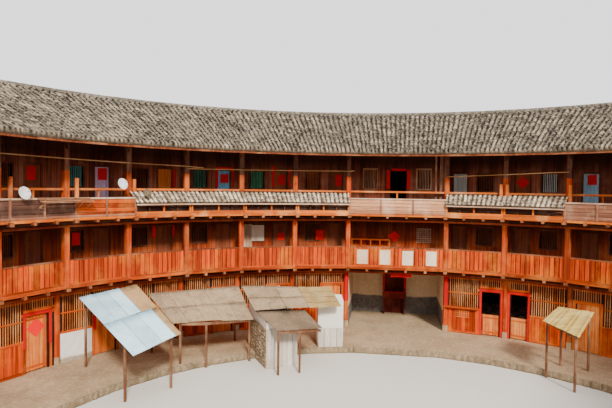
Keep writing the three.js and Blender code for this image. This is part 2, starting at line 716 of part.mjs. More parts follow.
// Walls of the shed: the front part ends under the low roof, the back part under the shed's own.
function shedWalls() {
  const walls = prism(SHED.outline, 0, underside(SHED_ROOF)).subtract(prism(SHED.inside, -LAP, WALL_BLANK_TOP));
  const wide = leanOutline(LOW_ROOF, TOUCH);
  return walls.subtract(prism(wide, underside(LOW_ROOF), WALL_BLANK_TOP)).subtract(apronSpace());
}

// The plan of a lean-to's sheet, made wider by a slack on every side.
function leanOutline({ corners }, slack) {
  const middle = [0, 1].map((axis) => corners.reduce((sum, corner) => sum + corner[axis], 0) / corners.length);
  return corners.map((corner) => {
    const reach = Math.hypot(corner[0] - middle[0], corner[1] - middle[1]);
    return [0, 1].map((axis) => corner[axis] + ((corner[axis] - middle[axis]) * 2 * slack) / reach);
  });
}

add('stone_platform', stonePlatform(), STONE);
add('stone_footing', stoneFooting(), STONE);
for (const [name, run] of Object.entries(WALL_RUNS)) add(`earth_wall_${name}`, earthWall(run), EARTH);

add('kitchen_front_right_end', rightEndFront(), ORANGE_TIMBER);
add('door_frames_right', rightDoorFrames(), RED_PAINT);
const rightRun = kitchenRun(rightBays, rightBays, { first: RIGHT_FRAME_END });
add('kitchen_front_right', rightRun, ORANGE_TIMBER);
const leftColumns = [-1, -2, -3, -4, -5, -6];
add('kitchen_front_left', kitchenRun(leftNearBays, leftColumns, { last: LEFT_FRAME.from }), ORANGE_TIMBER);
add('door_frame_left', leftDoorFrame(), RED_PAINT);
const farColumns = leftFarBays.map((bay) => bay - 1);
add('kitchen_front_far_left', kitchenRun(leftFarBays, farColumns, { first: LEFT_FRAME.to }), ORANGE_TIMBER);
add('left_door', doorLeaf(LEFT_DOOR, 'to', LEAF.fullTop), ORANGE_TIMBER);
add('right_half_door_near', doorLeaf(RIGHT_DOORS[0], 'to', LEAF.halfTop), ORANGE_TIMBER);
add('right_half_door_far', doorLeaf(RIGHT_DOORS[1], 'from', LEAF.halfTop), ORANGE_TIMBER);

const SECOND = {
  beamRadius: KITCHEN, beam: GROUND_BEAM, joist: SECOND_JOIST, deck: SECOND_DECK, top: SECOND_FLOOR,
  joistEnd: SECOND_JOIST_END, deckEdge: SECOND_DECK_EDGE,
};
const THIRD = {
  beamRadius: GALLERY, beam: THIRD_BEAM, joist: THIRD_JOIST, deck: THIRD_DECK, top: THIRD_FLOOR,
  joistEnd: OUTRIGGER_END, deckEdge: THIRD_DECK_EDGE,
};
const roof = roofRing();
for (const [side, run] of Object.entries({ hall: HALL_HALF, gate: GATE_HALF })) {
  add(`second_floor_${side}`, floorDeck(run, SECOND), BROWN_TIMBER);
  add(`second_gallery_${side}`, secondGallery(run), ORANGE_TIMBER);
  add(`second_room_front_${side}`, roomFront(run, SECOND_FLOOR, THIRD_JOIST - TOUCH), BROWN_TIMBER);
  add(`third_floor_${side}`, floorDeck(run, THIRD), BROWN_TIMBER);
  add(`third_gallery_${side}`, thirdGallery(run), BROWN_TIMBER);
  const thirdFront = roomFront(run, THIRD_FLOOR, WALL_BLANK_TOP).subtract(aboveRoof);
  add(`third_room_front_${side}`, thirdFront, BROWN_TIMBER);
  add(`roof_${side}`, roof.intersect(sector(run)), TILES);
}

add('parapet_left', parapet([-8, -5]), GREY_TIMBER);
add('pent_roof_left', pentRoof([-5, -1]), PALE_TILES);
add('parapet_hall', parapet([-1, 0]), GREY_TIMBER);
add('pent_roof_right', pentRoof([0, 2]), PALE_TILES);
add('parapet_right', parapet([2, 6]), GREY_TIMBER);
add('pent_roof_far_right', pentRoof([6, 15]), PALE_TILES);
add('parapet_gate', parapet([15, 16]), GREY_TIMBER);
add('pent_roof_far_left', pentRoof([16, 24]), PALE_TILES);

const capEdge = roofSoffit(RIDGE - RIDGE_CAP_HALF) + ROOF_THICKNESS + TOUCH;
add('roof_ridge', turnedRing([
  [RIDGE - RIDGE_CAP_HALF, capEdge], [RIDGE, roofSoffit(RIDGE) + ROOF_THICKNESS + TOUCH],
  [RIDGE + RIDGE_CAP_HALF, capEdge], [RIDGE + RIDGE_CAP_HALF, RIDGE_CAP_TOP],
  [RIDGE - RIDGE_CAP_HALF, RIDGE_CAP_TOP],
]), PALE_TILES);
const boardInner = EAVES_INNER - TOUCH - EAVES_BOARD.thickness;
add('eaves_board', turnedRing([
  [boardInner, EAVES_BOARD.bottom], [EAVES_INNER - TOUCH, EAVES_BOARD.bottom],
  [EAVES_INNER - TOUCH, EAVES_BOARD.top], [boardInner, EAVES_BOARD.top],
]), FASCIA);

add('hall_walls', hallWalls(), DARK_PLASTER);
add('hall_altar', hallAltar(), RED_PAINT);
add('gate_frame', gateFrame(), STONE);
add('gate_leaf_left', gateLeaf(-1), BROWN_TIMBER);
add('gate_leaf_right', gateLeaf(1), BROWN_TIMBER);
add('gate_passage_wall_left', passageWall(-1), BROWN_TIMBER);
add('gate_passage_wall_right', passageWall(1), BROWN_TIMBER);

add('blue_canopy', leanSheet(BLUE_CANOPY), BLUE_SHEET);
add('blue_canopy_frame', leanFrame(BLUE_CANOPY), GREY_TIMBER);
add('grey_roof', leanSheet(GREY_ROOF), GREY_SHEET);
add('grey_roof_frame', leanFrame(GREY_ROOF), GREY_TIMBER);
add('shed_walls', shedWalls(), PLASTER);
add('shed_roof', leanSheet(SHED_ROOF), GREY_SHEET);
add('low_roof', leanSheet(LOW_ROOF), GREY_SHEET);
add('low_roof_frame', leanFrame(LOW_ROOF), GREY_TIMBER);
const screen = fractionBox(-1, PLASTER_SCREEN.from, PLASTER_SCREEN.to, PLASTER_SCREEN.front,
  PLASTER_SCREEN.back, ON_APRON, underside(SHED_ROOF));
add('plaster_screen', screen, PLASTER);
add('mat_awning', leanSheet(MAT_AWNING), STRAW);
add('mat_awning_frame', leanFrame(MAT_AWNING), GREY_TIMBER);

export default group;
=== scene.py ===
"""Looks of the tulou roundhouse: tiles, boards, bars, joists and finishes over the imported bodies."""

import math

import bpy
import numpy as np
from mathutils import Matrix


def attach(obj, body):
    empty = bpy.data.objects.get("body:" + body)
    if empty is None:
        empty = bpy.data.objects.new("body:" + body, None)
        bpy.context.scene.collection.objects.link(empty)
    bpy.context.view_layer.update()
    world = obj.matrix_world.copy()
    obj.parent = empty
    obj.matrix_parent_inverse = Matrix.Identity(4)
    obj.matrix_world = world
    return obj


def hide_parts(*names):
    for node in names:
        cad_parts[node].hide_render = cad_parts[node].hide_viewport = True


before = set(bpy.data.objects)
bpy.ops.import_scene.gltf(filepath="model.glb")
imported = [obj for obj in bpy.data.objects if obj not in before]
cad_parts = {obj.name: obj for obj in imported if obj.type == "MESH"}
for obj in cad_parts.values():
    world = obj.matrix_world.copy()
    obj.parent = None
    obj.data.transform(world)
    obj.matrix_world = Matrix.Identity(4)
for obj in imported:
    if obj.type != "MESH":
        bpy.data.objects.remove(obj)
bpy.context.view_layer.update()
RNG = np.random.default_rng(11)

# Bays and columns, counted as in the part: column 0 right of the hall, -1 left of it, bay 0 between them.
HALL_HALF_ANGLE = 0.171
BAY_ANGLE = 0.191
COLUMNS = 32
SIDE_COLUMNS = 16
GATE_BAY = 16
PLASTER_BAY = -5
SIDE_BAYS = [bay for bay in range(-15, 16) if bay != 0]
ALL_BAYS = SIDE_BAYS + [0, GATE_BAY]
PARAPET_BAYS = [-7, -6, -5, 0, 3, 4, 5, 6, GATE_BAY]
PENT_RUNS = {
    "left": list(range(-4, 0)),
    "right": [1, 2],
    "far_right": list(range(7, 16)),
    "far_left": list(range(-15, -7)),
}
PENT_BAYS = [bay for bays in PENT_RUNS.values() for bay in bays]

# Radii of the polygon corners, in metres.
APRON_EDGE = 10.15
GALLERY = 12.87
KITCHEN = 13.45
ROOM_FRONT = 14.12
HALL_BACK = 16.4
WALL_OUTER = 18.42
PARAPET = 12.31
SECOND_EDGE = 12.77
THIRD_EDGE = 12.29
SECOND_JOIST_END = 12.66
THIRD_JOIST_END = 12.16
PENT_OUTER, PENT_INNER = 12.14, 12.75

# Heights, in metres.
APRON_TOP = 0.25
PAD_TOP = 0.52
GROUND_BEAM = 2.79
SECOND_JOIST = 2.97
SECOND_DECK = 3.09
SECOND_FLOOR = 3.15
BALUSTRADE_TOP = 4.09
THIRD_BEAM = 5.24
THIRD_JOIST = 5.42
THIRD_DECK = 5.54
THIRD_FLOOR = 5.60
PENT_LOW, PENT_HIGH = 6.07, 6.49
PARAPET_TOP = 6.304
INNER_RAIL = 6.613
SQUAT_POST_TOP = 6.98
# Over this height the third-floor columns turn dark grey-brown: painted shade of the eaves.
COLUMN_SHADE_LINE = 7.25
COLUMN_TOP = 8.72
THIRD_WALL_TOP = 8.9

# Roof: the inner and the outer slope meet at the ridge.
EAVES_INNER = 11.51
RIDGE = 15.59
EAVES_OUTER = 19.62
EAVES_SOFFIT = 8.151
ROOF_SLOPE = 0.507
ROOF_THICKNESS = 0.18

# Holes of a side bay as fractions of its chord, with sill and head above the floor.
UPPER_DOOR = (0.08, 0.30, 0.0, 1.85)
UPPER_WINDOW = (0.48, 0.72, 1.08, 1.85)
KITCHEN_DOOR = (0.10, 0.44)
KITCHEN_SILL = 1.35
DOOR_HEAD = 2.2

UP = np.array([0.0, 0.0, 1.0])
BAR_CORNERS = 8
GRAIN_SHIFT = 40


def column_angle(column):
    """Angle of each column: half the hall bay, then one bay angle more for each further column."""
    column = np.asarray(column)
    turned = column >= SIDE_COLUMNS
    near = np.where(turned, column - COLUMNS, column)
    steps = np.where(near < 0, -1 - near, near)
    angle = np.where(near < 0, -1, 1) * (HALL_HALF_ANGLE + steps * BAY_ANGLE)
    return angle + np.where(turned, 2 * math.pi, 0)


def polar(radius, angle, height=0.0):
    """Points at a radius and a clockwise angle from +Y: (r sin a, r cos a, h)."""
    radius, angle, height = np.broadcast_arrays(radius, angle, height)
    return np.stack([radius * np.sin(angle), radius * np.cos(angle), height], -1).astype(float)


def tangent(angle):
    """Unit direction along the ring at a clockwise angle from +Y: (cos a, -sin a, 0)."""
    return np.stack([np.cos(angle), -np.sin(angle), np.zeros(len(angle))], -1)


def place(bay, fraction, radius, height=0.0):
    """Points on the straight chord of a bay: (1 - f) times its hall corner plus f times its far corner."""
    bay, fraction, radius, height = np.broadcast_arrays(bay, fraction, radius, height)
    left = bay < 0
    start = polar(radius, column_angle(np.where(left, bay, bay - 1)))
    end = polar(radius, column_angle(np.where(left, bay - 1, bay)))
    part = np.asarray(fraction, float)[..., None]
    points = start * (1 - part) + end * part
    points[..., 2] = height
    return points


def along(bay):
    """Unit direction of a bay's chord, from its hall end to its far end."""
    step = place(bay, 1.0, 1.0) - place(bay, 0.0, 1.0)
    return step / np.linalg.norm(step, axis=-1, keepdims=True)


def outward_of(bay):
    """Unit direction from the courtyard square to a bay's chord."""
    middle = place(bay, 0.5, 1.0)
    return middle / np.linalg.norm(middle, axis=-1, keepdims=True)


def bay_width(bay, radius):
    """Length of a bay's chord at a polygon radius."""
    return float(np.linalg.norm(place(bay, 1.0, radius) - place(bay, 0.0, radius)))


def unit(vector):
    """A direction of length one."""
    return vector / np.linalg.norm(vector)


# Surfaces from arrays.


def surface(points, quads, tone, grain=None):
    """A set of points and four-cornered faces, with the tone and the grain's coordinates of each point."""
    points = points.reshape(-1, 3)
    grain = points if grain is None else grain.reshape(-1, 3)
    return {"points": points, "quads": quads.reshape(-1, 4), "tone": np.ravel(tone), "grain": grain}


def flipped(part, turned=True):
    """The same surface with its faces turned round."""
    return {**part, "quads": part["quads"][:, ::-1]} if turned else part


def joined(parts):
    """Several sets of points and faces as one."""
    whole = {key: np.concatenate([part[key] for part in parts]) for key in ("points", "tone", "grain")}
    offsets = np.cumsum([0] + [len(part["points"]) for part in parts[:-1]])
    whole["quads"] = np.concatenate([part["quads"] + offset for part, offset in zip(parts, offsets)])
    return whole


def put(name, parts, material, body="house", smooth=False):
    """One named piece from one or several surfaces, riding on a body."""
    whole = joined(parts if isinstance(parts, list) else [parts])
    mesh = bpy.data.meshes.new(name)
    mesh.from_pydata(whole["points"], [], whole["quads"])
    for label, kind, key in (("tone", "FLOAT", "value"), ("grain", "FLOAT_VECTOR", "vector")):
        layer = mesh.attributes.new(label, kind, "POINT")
        layer.data.foreach_set(key, whole[label].astype(np.float32).ravel())
    mesh.polygons.foreach_set("use_smooth", np.full(len(mesh.polygons), smooth))
    mesh.materials.append(material)
    mesh.update()
    made = bpy.data.objects.new(name, mesh)
    bpy.context.scene.collection.objects.link(made)
    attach(made, body)
    return made


def grid_quads(rows, columns, wrap_rows=False, wrap_columns=False):
    """Faces of a rows x columns grid of points, closed on itself where asked."""
    last_row = rows if wrap_rows else rows - 1
    last_column = columns if wrap_columns else columns - 1
    i, j = np.meshgrid(np.arange(last_row), np.arange(last_column), indexing="ij")
    below, right = (i + 1) % rows, (j + 1) % columns
    corners = [i * columns + j, i * columns + right, below * columns + right, below * columns + j]
    return np.stack(corners, -1).reshape(-1, 4)


CAP_QUADS = np.array([[0, 1, 2, 3], [0, 3, 4, 7], [4, 5, 6, 7]])


def bars(start, end, across, width, depth, squareness=0.22, taper=1.0):
    """Bars swept along straight axes, each with a closed superellipse section of eight points: x is half
    the width times sgn(cos t)|cos t|^q and y half the depth times sgn(sin t)|sin t|^q, with q small for
    square and 1 for round. The end section is taper times the start section."""
    start, end, across = np.broadcast_arrays(start, end, across)
    start, end, across = (array.reshape(-1, 3).astype(float) for array in (start, end, across))
    count = len(start)
    width = np.broadcast_to(width, (count,)).astype(float)
    depth = np.broadcast_to(depth, (count,)).astype(float)
    axis = end - start
    length = np.linalg.norm(axis, axis=1)
    axis = axis / length[:, None]
    side = across - (across * axis).sum(1)[:, None] * axis
    side /= np.linalg.norm(side, axis=1)[:, None]
    other = np.cross(axis, side)
    corner = np.arange(BAR_CORNERS)
    turn = (corner + 0.5) * 2 * math.pi / BAR_CORNERS
    local_x = width[:, None] / 2 * np.sign(np.cos(turn)) * np.abs(np.cos(turn)) ** squareness
    local_y = depth[:, None] / 2 * np.sign(np.sin(turn)) * np.abs(np.sin(turn)) ** squareness
    spread = local_x[..., None] * side[:, None, :] + local_y[..., None] * other[:, None, :]
    shift = RNG.uniform(0, GRAIN_SHIFT, (count, 1, 3))
    rings, grains = [], []
    for share, size in ((0.0, 1.0), (1.0, taper)):
        rings.append((start + axis * (length * share)[:, None])[:, None, :] + size * spread)
        run = np.broadcast_to((length * share)[:, None], local_x.shape)
        grains.append(np.stack([run, local_x * size, local_y * size], -1) + shift)
    points = np.stack(rings, 1)
    following = (corner + 1) % BAR_CORNERS
    sides = np.stack([corner, following, following + BAR_CORNERS, corner + BAR_CORNERS], -1)
    pattern = np.concatenate([sides, CAP_QUADS[:, ::-1], CAP_QUADS + BAR_CORNERS])
    quads = pattern[None] + 2 * BAR_CORNERS * np.arange(count)[:, None, None]
    tone = np.broadcast_to(RNG.uniform(0, 1, (count, 1, 1)), points.shape[:3])
    return surface(points, quads, tone, np.stack(grains, 1))


def boards(bay, span, heights, radius, thickness, width, gap=0.004, jitter=0.002):
    """Upright boards side by side over a stretch of a bay, in front of a polygon radius."""
    first, last = span
    length = bay_width(bay, radius) * (last - first)
    count = max(1, int(round(length / width)))
    middle = first + (last - first) * (np.arange(count) + 0.5) / count
    shift = -outward_of(bay) * (thickness / 2 + RNG.uniform(0, jitter, count))[:, None]
    foot = place(bay, middle, radius, heights[0]) + shift
    head = place(bay, middle, radius, heights[1]) + shift
    return bars(foot, head, along(bay), length / count - gap, thickness)


def level_boards(bay, span, heights, radius, thickness, width, gap=0.006, tilt=0.004, jitter=0.006):
    """Level boards one over another along a stretch of a bay, each leaning a little its own way."""
    count = max(1, int(round((heights[1] - heights[0]) / width)))
    pitch = (heights[1] - heights[0]) / count
    middle = heights[0] + pitch * (np.arange(count) + 0.5)
    start = place(bay, np.full(count, span[0]), radius, middle + RNG.normal(0, tilt, count))
    end = place(bay, np.full(count, span[1]), radius, middle + RNG.normal(0, tilt, count))
    shift = -outward_of(bay) * (thickness / 2 + RNG.uniform(0, jitter, (count, 1)))
    return bars(start + shift, end + shift, UP, pitch - gap, thickness)


def rail(bay, span, level, radius, height, depth):
    """A level rail along a stretch of a bay; depth is across the wall."""
    return bars(place(bay, span[0], radius, level), place(bay, span[1], radius, level), UP, height, depth)


def upright(bay, fraction, heights, radius, width, depth, squareness=0.22):
    """Upright bars at one or more fractions of a bay, on a polygon radius."""
    foot = place(bay, fraction, radius, heights[0])
    head = place(bay, fraction, radius, heights[1])
    return bars(foot, head, along(bay), width, depth, squareness)


def closed_sheet(top, under, tone=0.5, grain=None):
    """A thin solid from two like grids of points: its section runs over the top grid and back along the under
    grid, and strips close both ends."""
    rows, columns, _ = top.shape
    loop = np.concatenate([top, under[:, ::-1]], axis=1)
    i = np.arange(columns - 1)
    strip = np.stack([i, 2 * columns - 1 - i, 2 * columns - 2 - i, i + 1], -1)
    around = grid_quads(rows, 2 * columns, False, True)
    quads = np.concatenate([around, strip, strip[:, ::-1] + (rows - 1) * 2 * columns])
    tone = np.broadcast_to(tone, (rows, columns))
    tone = np.concatenate([tone, tone[:, ::-1]], axis=1)
    grain = loop if grain is None else np.concatenate([grain, grain[:, ::-1]], axis=1)
    return surface(loop, quads, tone, grain)


def patch(bay, span, heights, radius, thickness=0.004, curl=0.0, rows=5):
    """A thin panel in front of a polygon radius; curl bends its side edges towards the courtyard by
    curl (2 s)^2, where s runs from -0.5 to 0.5 across it, and a slow wave runs up it."""
    across, up = np.meshgrid(np.linspace(*span, rows), np.linspace(*heights, rows))
    share = (across - (span[0] + span[1]) / 2) / (span[1] - span[0])
    bend = curl * (2 * share) ** 2 + curl * 0.4 * np.sin(up * 9 + 3)
    front = place(bay, across, radius - thickness - bend, up)
    back = place(bay, across, radius - bend, up)
    return flipped(closed_sheet(front, back, RNG.uniform(0.3, 1)), bay >= 0)


def diamond(bay, middle, level, half, radius):
    """A square panel that stands on one corner: its sides run along (a + b, b - a)."""
    first, second = np.meshgrid(np.linspace(-0.5, 0.5, 5), np.linspace(-0.5, 0.5, 5))
    across = middle + (first + second) * half / bay_width(bay, radius)
    up = level + (second - first) * half
    front = place(bay, across, radius - 0.005, up)
    back = place(bay, across, radius, up)
    return flipped(closed_sheet(front, back, 0.8), bay >= 0)


# Finishes.


def node(tree, kind, values=None, **settings):
    """A shader node with its settings, and its sockets set to values or linked to other sockets."""
    made = tree.nodes.new(kind)
    for key, value in settings.items():
        setattr(made, key, value)
    for key, value in (values or {}).items():
        if isinstance(value, bpy.types.NodeSocket):
            tree.links.new(value, made.inputs[key])
        else:
            made.inputs[key].default_value = value
    return made


def mix(tree, factor, first, second):
    """Mixes two colours."""
    return node(tree, "ShaderNodeMix", {0: factor, 6: first, 7: second}, data_type="RGBA").outputs[2]


def remap(tree, value, low, high, to_low=0.0, to_high=1.0):
    """Maps a value from one range to another and clamps it."""
    values = {"Value": value, "From Min": low, "From Max": high, "To Min": to_low, "To Max": to_high}
    return node(tree, "ShaderNodeMapRange", values, clamp=True).outputs["Result"]


def maths(tree, operation, first, second=0.0):
    """One arithmetic step."""
    return node(tree, "ShaderNodeMath", {0: first, 1: second}, operation=operation).outputs[0]


def times(tree, first, second):
    """A product of two values."""
    return maths(tree, "MULTIPLY", first, second)


def noise(tree, vector, scale, stretch=(1, 1, 1), detail=3.0, rough=0.55):
    """Noise over a vector stretched along its axes."""
    mapped = node(tree, "ShaderNodeMapping", {"Vector": vector, "Scale": stretch})
    values = {"Vector": mapped.outputs[0], "Scale": scale, "Detail": detail, "Roughness": rough}
    return node(tree, "ShaderNodeTexNoise", values).outputs["Fac"]


def height_of(tree, vector):
    """The upright part of a vector."""
    return node(tree, "ShaderNodeSeparateXYZ", {"Vector": vector}).outputs["Z"]


def new_group(name, inputs, outputs):
    """A shader node group with named sockets; returns its tree, what it is given and what it puts out."""
    tree = bpy.data.node_groups.new(name, "ShaderNodeTree")
    kinds = {"color": "NodeSocketColor", "float": "NodeSocketFloat", "vector": "NodeSocketVector"}
    for way, sockets in (("INPUT", inputs), ("OUTPUT", outputs)):
        for label, kind in sockets.items():
            tree.interface.new_socket(label, in_out=way, socket_type=kinds[kind])
    return tree, tree.nodes.new("NodeGroupInput").outputs, tree.nodes.new("NodeGroupOutput").inputs


def mask_group(name, value_name):
    """A group that turns a place and one value into a mask."""
    return new_group(name, {"Place": "vector", value_name: "float"}, {"Mask": "float"})


SURFACE_INPUTS = {
    "Vector": "vector", "Place": "vector", "Tone": "float", "Base": "color", "Dark": "color", "Pale": "color",
    "Wear": "float",
}
SURFACE_OUTPUTS = {"Color": "color", "Roughness": "float", "Height": "float"}


def timber_group():
    """Wood: long grain along the first axis, a tone of its own for each board, dark streaks, pale patches."""
    tree, given, out = new_group("timber", SURFACE_INPUTS, SURFACE_OUTPUTS)
    grain = noise(tree, given["Vector"], scale=1.0, stretch=(1.3, 38, 38), detail=4.0, rough=0.6)
    streaks = noise(tree, given["Vector"], scale=1.0, stretch=(0.4, 13, 13), detail=2.0)
    patches = noise(tree, given["Place"], scale=1.1, stretch=(1, 1, 0.8), detail=4.0, rough=0.62)
    toned = maths(tree, "ADD", times(tree, given["Tone"], 0.65), remap(tree, streaks, 0.36, 0.64, 0.0, 0.45))
    body = mix(tree, remap(tree, toned, 0.05, 0.9), given["Dark"], given["Base"])
    lined = mix(tree, remap(tree, grain, 0.35, 0.6, 0.0, 0.55), body, given["Dark"])
    worn = times(tree, remap(tree, patches, 0.48, 0.68), given["Wear"])
    tree.links.new(mix(tree, worn, lined, given["Pale"]), out["Color"])
    tree.links.new(remap(tree, grain, 0.2, 0.8, 0.62, 0.9), out["Roughness"])
    tree.links.new(maths(tree, "ADD", grain, times(tree, worn, 0.3)), out["Height"])
    return tree


def mineral_group(name, own_tone, clouds):
    """Stone, plaster, earth, sheet and tile: cloudy tone, stains that run down, a coarse and a fine grain."""
    tree, given, out = new_group(name, SURFACE_INPUTS, SURFACE_OUTPUTS)
    cloud = noise(tree, given["Place"], scale=0.9, detail=5.0, rough=0.6)
    stain = noise(tree, given["Place"], scale=2.2, stretch=(1, 1, 0.22), detail=4.0, rough=0.6)
    coarse = noise(tree, given["Vector"], scale=9.0, detail=4.0, rough=0.65)
    fine = noise(tree, given["Vector"], scale=55.0, detail=3.0, rough=0.6)
    toned = maths(tree, "ADD", times(tree, given["Tone"], own_tone), times(tree, cloud, clouds))
    body = mix(tree, remap(tree, toned, 0.2, 0.85), given["Dark"], given["Base"])
    speckled = mix(tree, remap(tree, coarse, 0.5, 0.75, 0.0, 0.5), body, given["Pale"])
    stained = times(tree, remap(tree, stain, 0.5, 0.72), given["Wear"])
    tree.links.new(mix(tree, stained, speckled, given["Dark"]), out["Color"])
    tree.links.new(remap(tree, fine, 0.3, 0.7, 0.78, 0.97), out["Roughness"])
    tree.links.new(maths(tree, "ADD", coarse, times(tree, fine, 0.35)), out["Height"])
    return tree


def lower_band_group():
    """A mask that is 1 below a height and 0 above it, with an uneven edge."""
    tree, given, out = mask_group("lower band", "Height")
    uneven = times(tree, noise(tree, given["Place"], scale=1.6, detail=4.0), 0.24)
    edge = maths(tree, "SUBTRACT", maths(tree, "ADD", given["Height"], 0.12), uneven)
    below = maths(tree, "SUBTRACT", edge, height_of(tree, given["Place"]))
    tree.links.new(remap(tree, below, -0.03, 0.05), out["Mask"])
    return tree


def soot_group():
    """A mask that is 1 inside a radius about the courtyard's middle and 0 outside it, with smoky clouds."""
    tree, given, out = mask_group("soot", "Radius")
    flat = node(tree, "ShaderNodeVectorMath", {0: given["Place"], 1: (1.0, 1.0, 0.0)}, operation="MULTIPLY")
    reach = node(tree, "ShaderNodeVectorMath", {0: flat.outputs[0]}, operation="LENGTH").outputs["Value"]
    inside = remap(tree, maths(tree, "SUBTRACT", given["Radius"], reach), -0.05, 0.05)
    clouds = remap(tree, noise(tree, given["Place"], scale=0.8), 0.3, 0.6, 0.8, 1.0)
    tree.links.new(times(tree, inside, clouds), out["Mask"])
    return tree


def lift_group():
    """Level seams of rammed earth: dark lines a lift apart, bent and broken a little."""
    tree, given, out = mask_group("earth lifts", "Lift")
    bend = times(tree, noise(tree, given["Place"], scale=0.7), 0.09)
    bent = maths(tree, "ADD", height_of(tree, given["Place"]), bend)
    share = maths(tree, "FRACT", maths(tree, "DIVIDE", bent, given["Lift"]))
    near = maths(tree, "ABSOLUTE", maths(tree, "SUBTRACT", share, 0.5))
    broken = remap(tree, noise(tree, given["Place"], scale=2.4), 0.4, 0.6)
    tree.links.new(times(tree, remap(tree, near, 0.44, 0.5), broken), out["Mask"])
    return tree


def fieldstone_group():
    """Joints between rounded stones of many sizes: 1 in a joint and 0 on a stone."""
    tree, given, out = mask_group("fieldstones", "Scale")
    values = {"Vector": given["Place"], "Scale": given["Scale"]}
    cells = node(tree, "ShaderNodeTexVoronoi", values, feature="DISTANCE_TO_EDGE")
    tree.links.new(remap(tree, cells.outputs["Distance"], 0.02, 0.12, 1.0, 0.0), out["Mask"])
    return tree


TIMBER = timber_group()
MINERAL = mineral_group("mineral", own_tone=0.45, clouds=0.75)
LAID_TILE = mineral_group("laid tile", own_tone=0.85, clouds=0.3)
LOWER_BAND = lower_band_group()
SOOT = soot_group()
LIFTS = lift_group()
FIELDSTONES = fieldstone_group()
# How far the painted shade high on the room fronts darkens the wood at most.
MOST_PAINTED_SHADE = 0.88
# Each with the name of its value, how far it darkens the colour, and how deep it is in the relief.
LIFT_SEAMS = (LIFTS, "Lift", 0.6, 0.8)
STONE_JOINTS = (FIELDSTONES, "Scale", 0.75, 1.5)


def masked(tree, group, where, value_name, value):
    """The mask of one of the groups above at a place."""
    return node(tree, "ShaderNodeGroup", {"Place": where, value_name: value}, node_tree=group).outputs["Mask"]


def rgb(colour):
    """A colour given as screen values of 0 to 255, as linear values with full opacity."""
    screen = np.array(colour) / 255
    linear = np.where(screen <= 0.04045, screen / 12.92, ((screen + 0.055) / 1.055) ** 2.4)
    return (*linear.tolist(), 1.0)


def finish(name, kind, base, dark, pale, wear=0.4, bump=0.004, grain="board", band=None, lift=None,
           joints=None, soot=None, painted_shade=None):
    """A material from one of the groups. Its grain follows each board, or runs upright, or stands still. band
    gives a height and the pale and the dark colour below it, lift the height of the layers of rammed earth,
    joints the scale of fieldstones, soot a radius and the colour inside it, and painted_shade two heights
    between which wood turns to the third value, a painted shade high under the eaves and under the deck
    above."""
    material = bpy.data.materials.new(name)
    material.use_nodes = True
    tree = material.node_tree
    tree.nodes.clear()
    base, dark, pale = rgb(base), rgb(dark), rgb(pale)
    where = node(tree, "ShaderNodeTexCoord").outputs["Object"]
    if grain == "board":
        vector = node(tree, "ShaderNodeAttribute", attribute_name="grain").outputs["Vector"]
    elif grain == "upright":
        turned = {"Vector": where, "Rotation": (0, math.pi / 2, 0)}
        vector = node(tree, "ShaderNodeMapping", turned).outputs[0]
    else:
        vector = where
    tone = node(tree, "ShaderNodeAttribute", attribute_name="tone").outputs["Fac"]
    values = {"Vector": vector, "Place": where, "Tone": tone}
    values.update({"Base": base, "Dark": dark, "Pale": pale, "Wear": wear})
    look = node(tree, "ShaderNodeGroup", values, node_tree=kind)
    color, height = look.outputs["Color"], look.outputs["Height"]
    if band:
        top, band_pale, band_dark = band
        banded = mix(tree, remap(tree, height, 0.4, 1.1), rgb(band_dark), rgb(band_pale))
        color = mix(tree, masked(tree, LOWER_BAND, where, "Height", top), color, banded)
    for (group, label, darkness, depth), value in ((LIFT_SEAMS, lift), (STONE_JOINTS, joints)):
        if value:
            seam = masked(tree, group, where, label, value)
            color = mix(tree, times(tree, seam, darkness), color, dark)
            height = maths(tree, "SUBTRACT", height, times(tree, seam, depth))
    if soot:
        radius, black = soot
        color = mix(tree, masked(tree, SOOT, where, "Radius", radius), color, rgb(black))
    # Painted shade: wood turns darker upwards between two heights, standing for the shadow under the eaves
    # and the deck above.
    if painted_shade:
        low, high, shade_colour = painted_shade
        share = remap(tree, height_of(tree, where), low, high, 0.0, MOST_PAINTED_SHADE)
        color = mix(tree, share, color, rgb(shade_colour))
    bumped = node(tree, "ShaderNodeBump", {"Height": height, "Distance": bump, "Strength": 1.0})
    shader = node(tree, "ShaderNodeBsdfPrincipled", {
        "Base Color": color, "Roughness": look.outputs["Roughness"], "Specular IOR Level": 0.2,
        "Normal": bumped.outputs[0],
    })
    out = node(tree, "ShaderNodeOutputMaterial")
    tree.links.new(shader.outputs[0], out.inputs["Surface"])
    return material


# Finishes of the pieces: base, dark and pale colour, then wear and the depth of the relief in metres.
ORANGE = finish("orange planks", TIMBER, (250, 88, 0), (104, 22, 0), (255, 152, 24), 0.35)
DOOR_WOOD = finish("pale orange doors", TIMBER, (255, 146, 58), (176, 70, 18), (255, 190, 116), 0.35)
DEEP_ORANGE = finish("deep orange timber", TIMBER, (230, 92, 8), (112, 32, 4), (244, 152, 60), 0.35)
BRIGHT_ORANGE = finish("bright orange rails", TIMBER, (244, 128, 30), (150, 56, 12), (246, 186, 116), 0.45)
RUST = finish("rust brown boards", TIMBER, (184, 70, 26), (98, 34, 14), (204, 124, 76), 0.4)
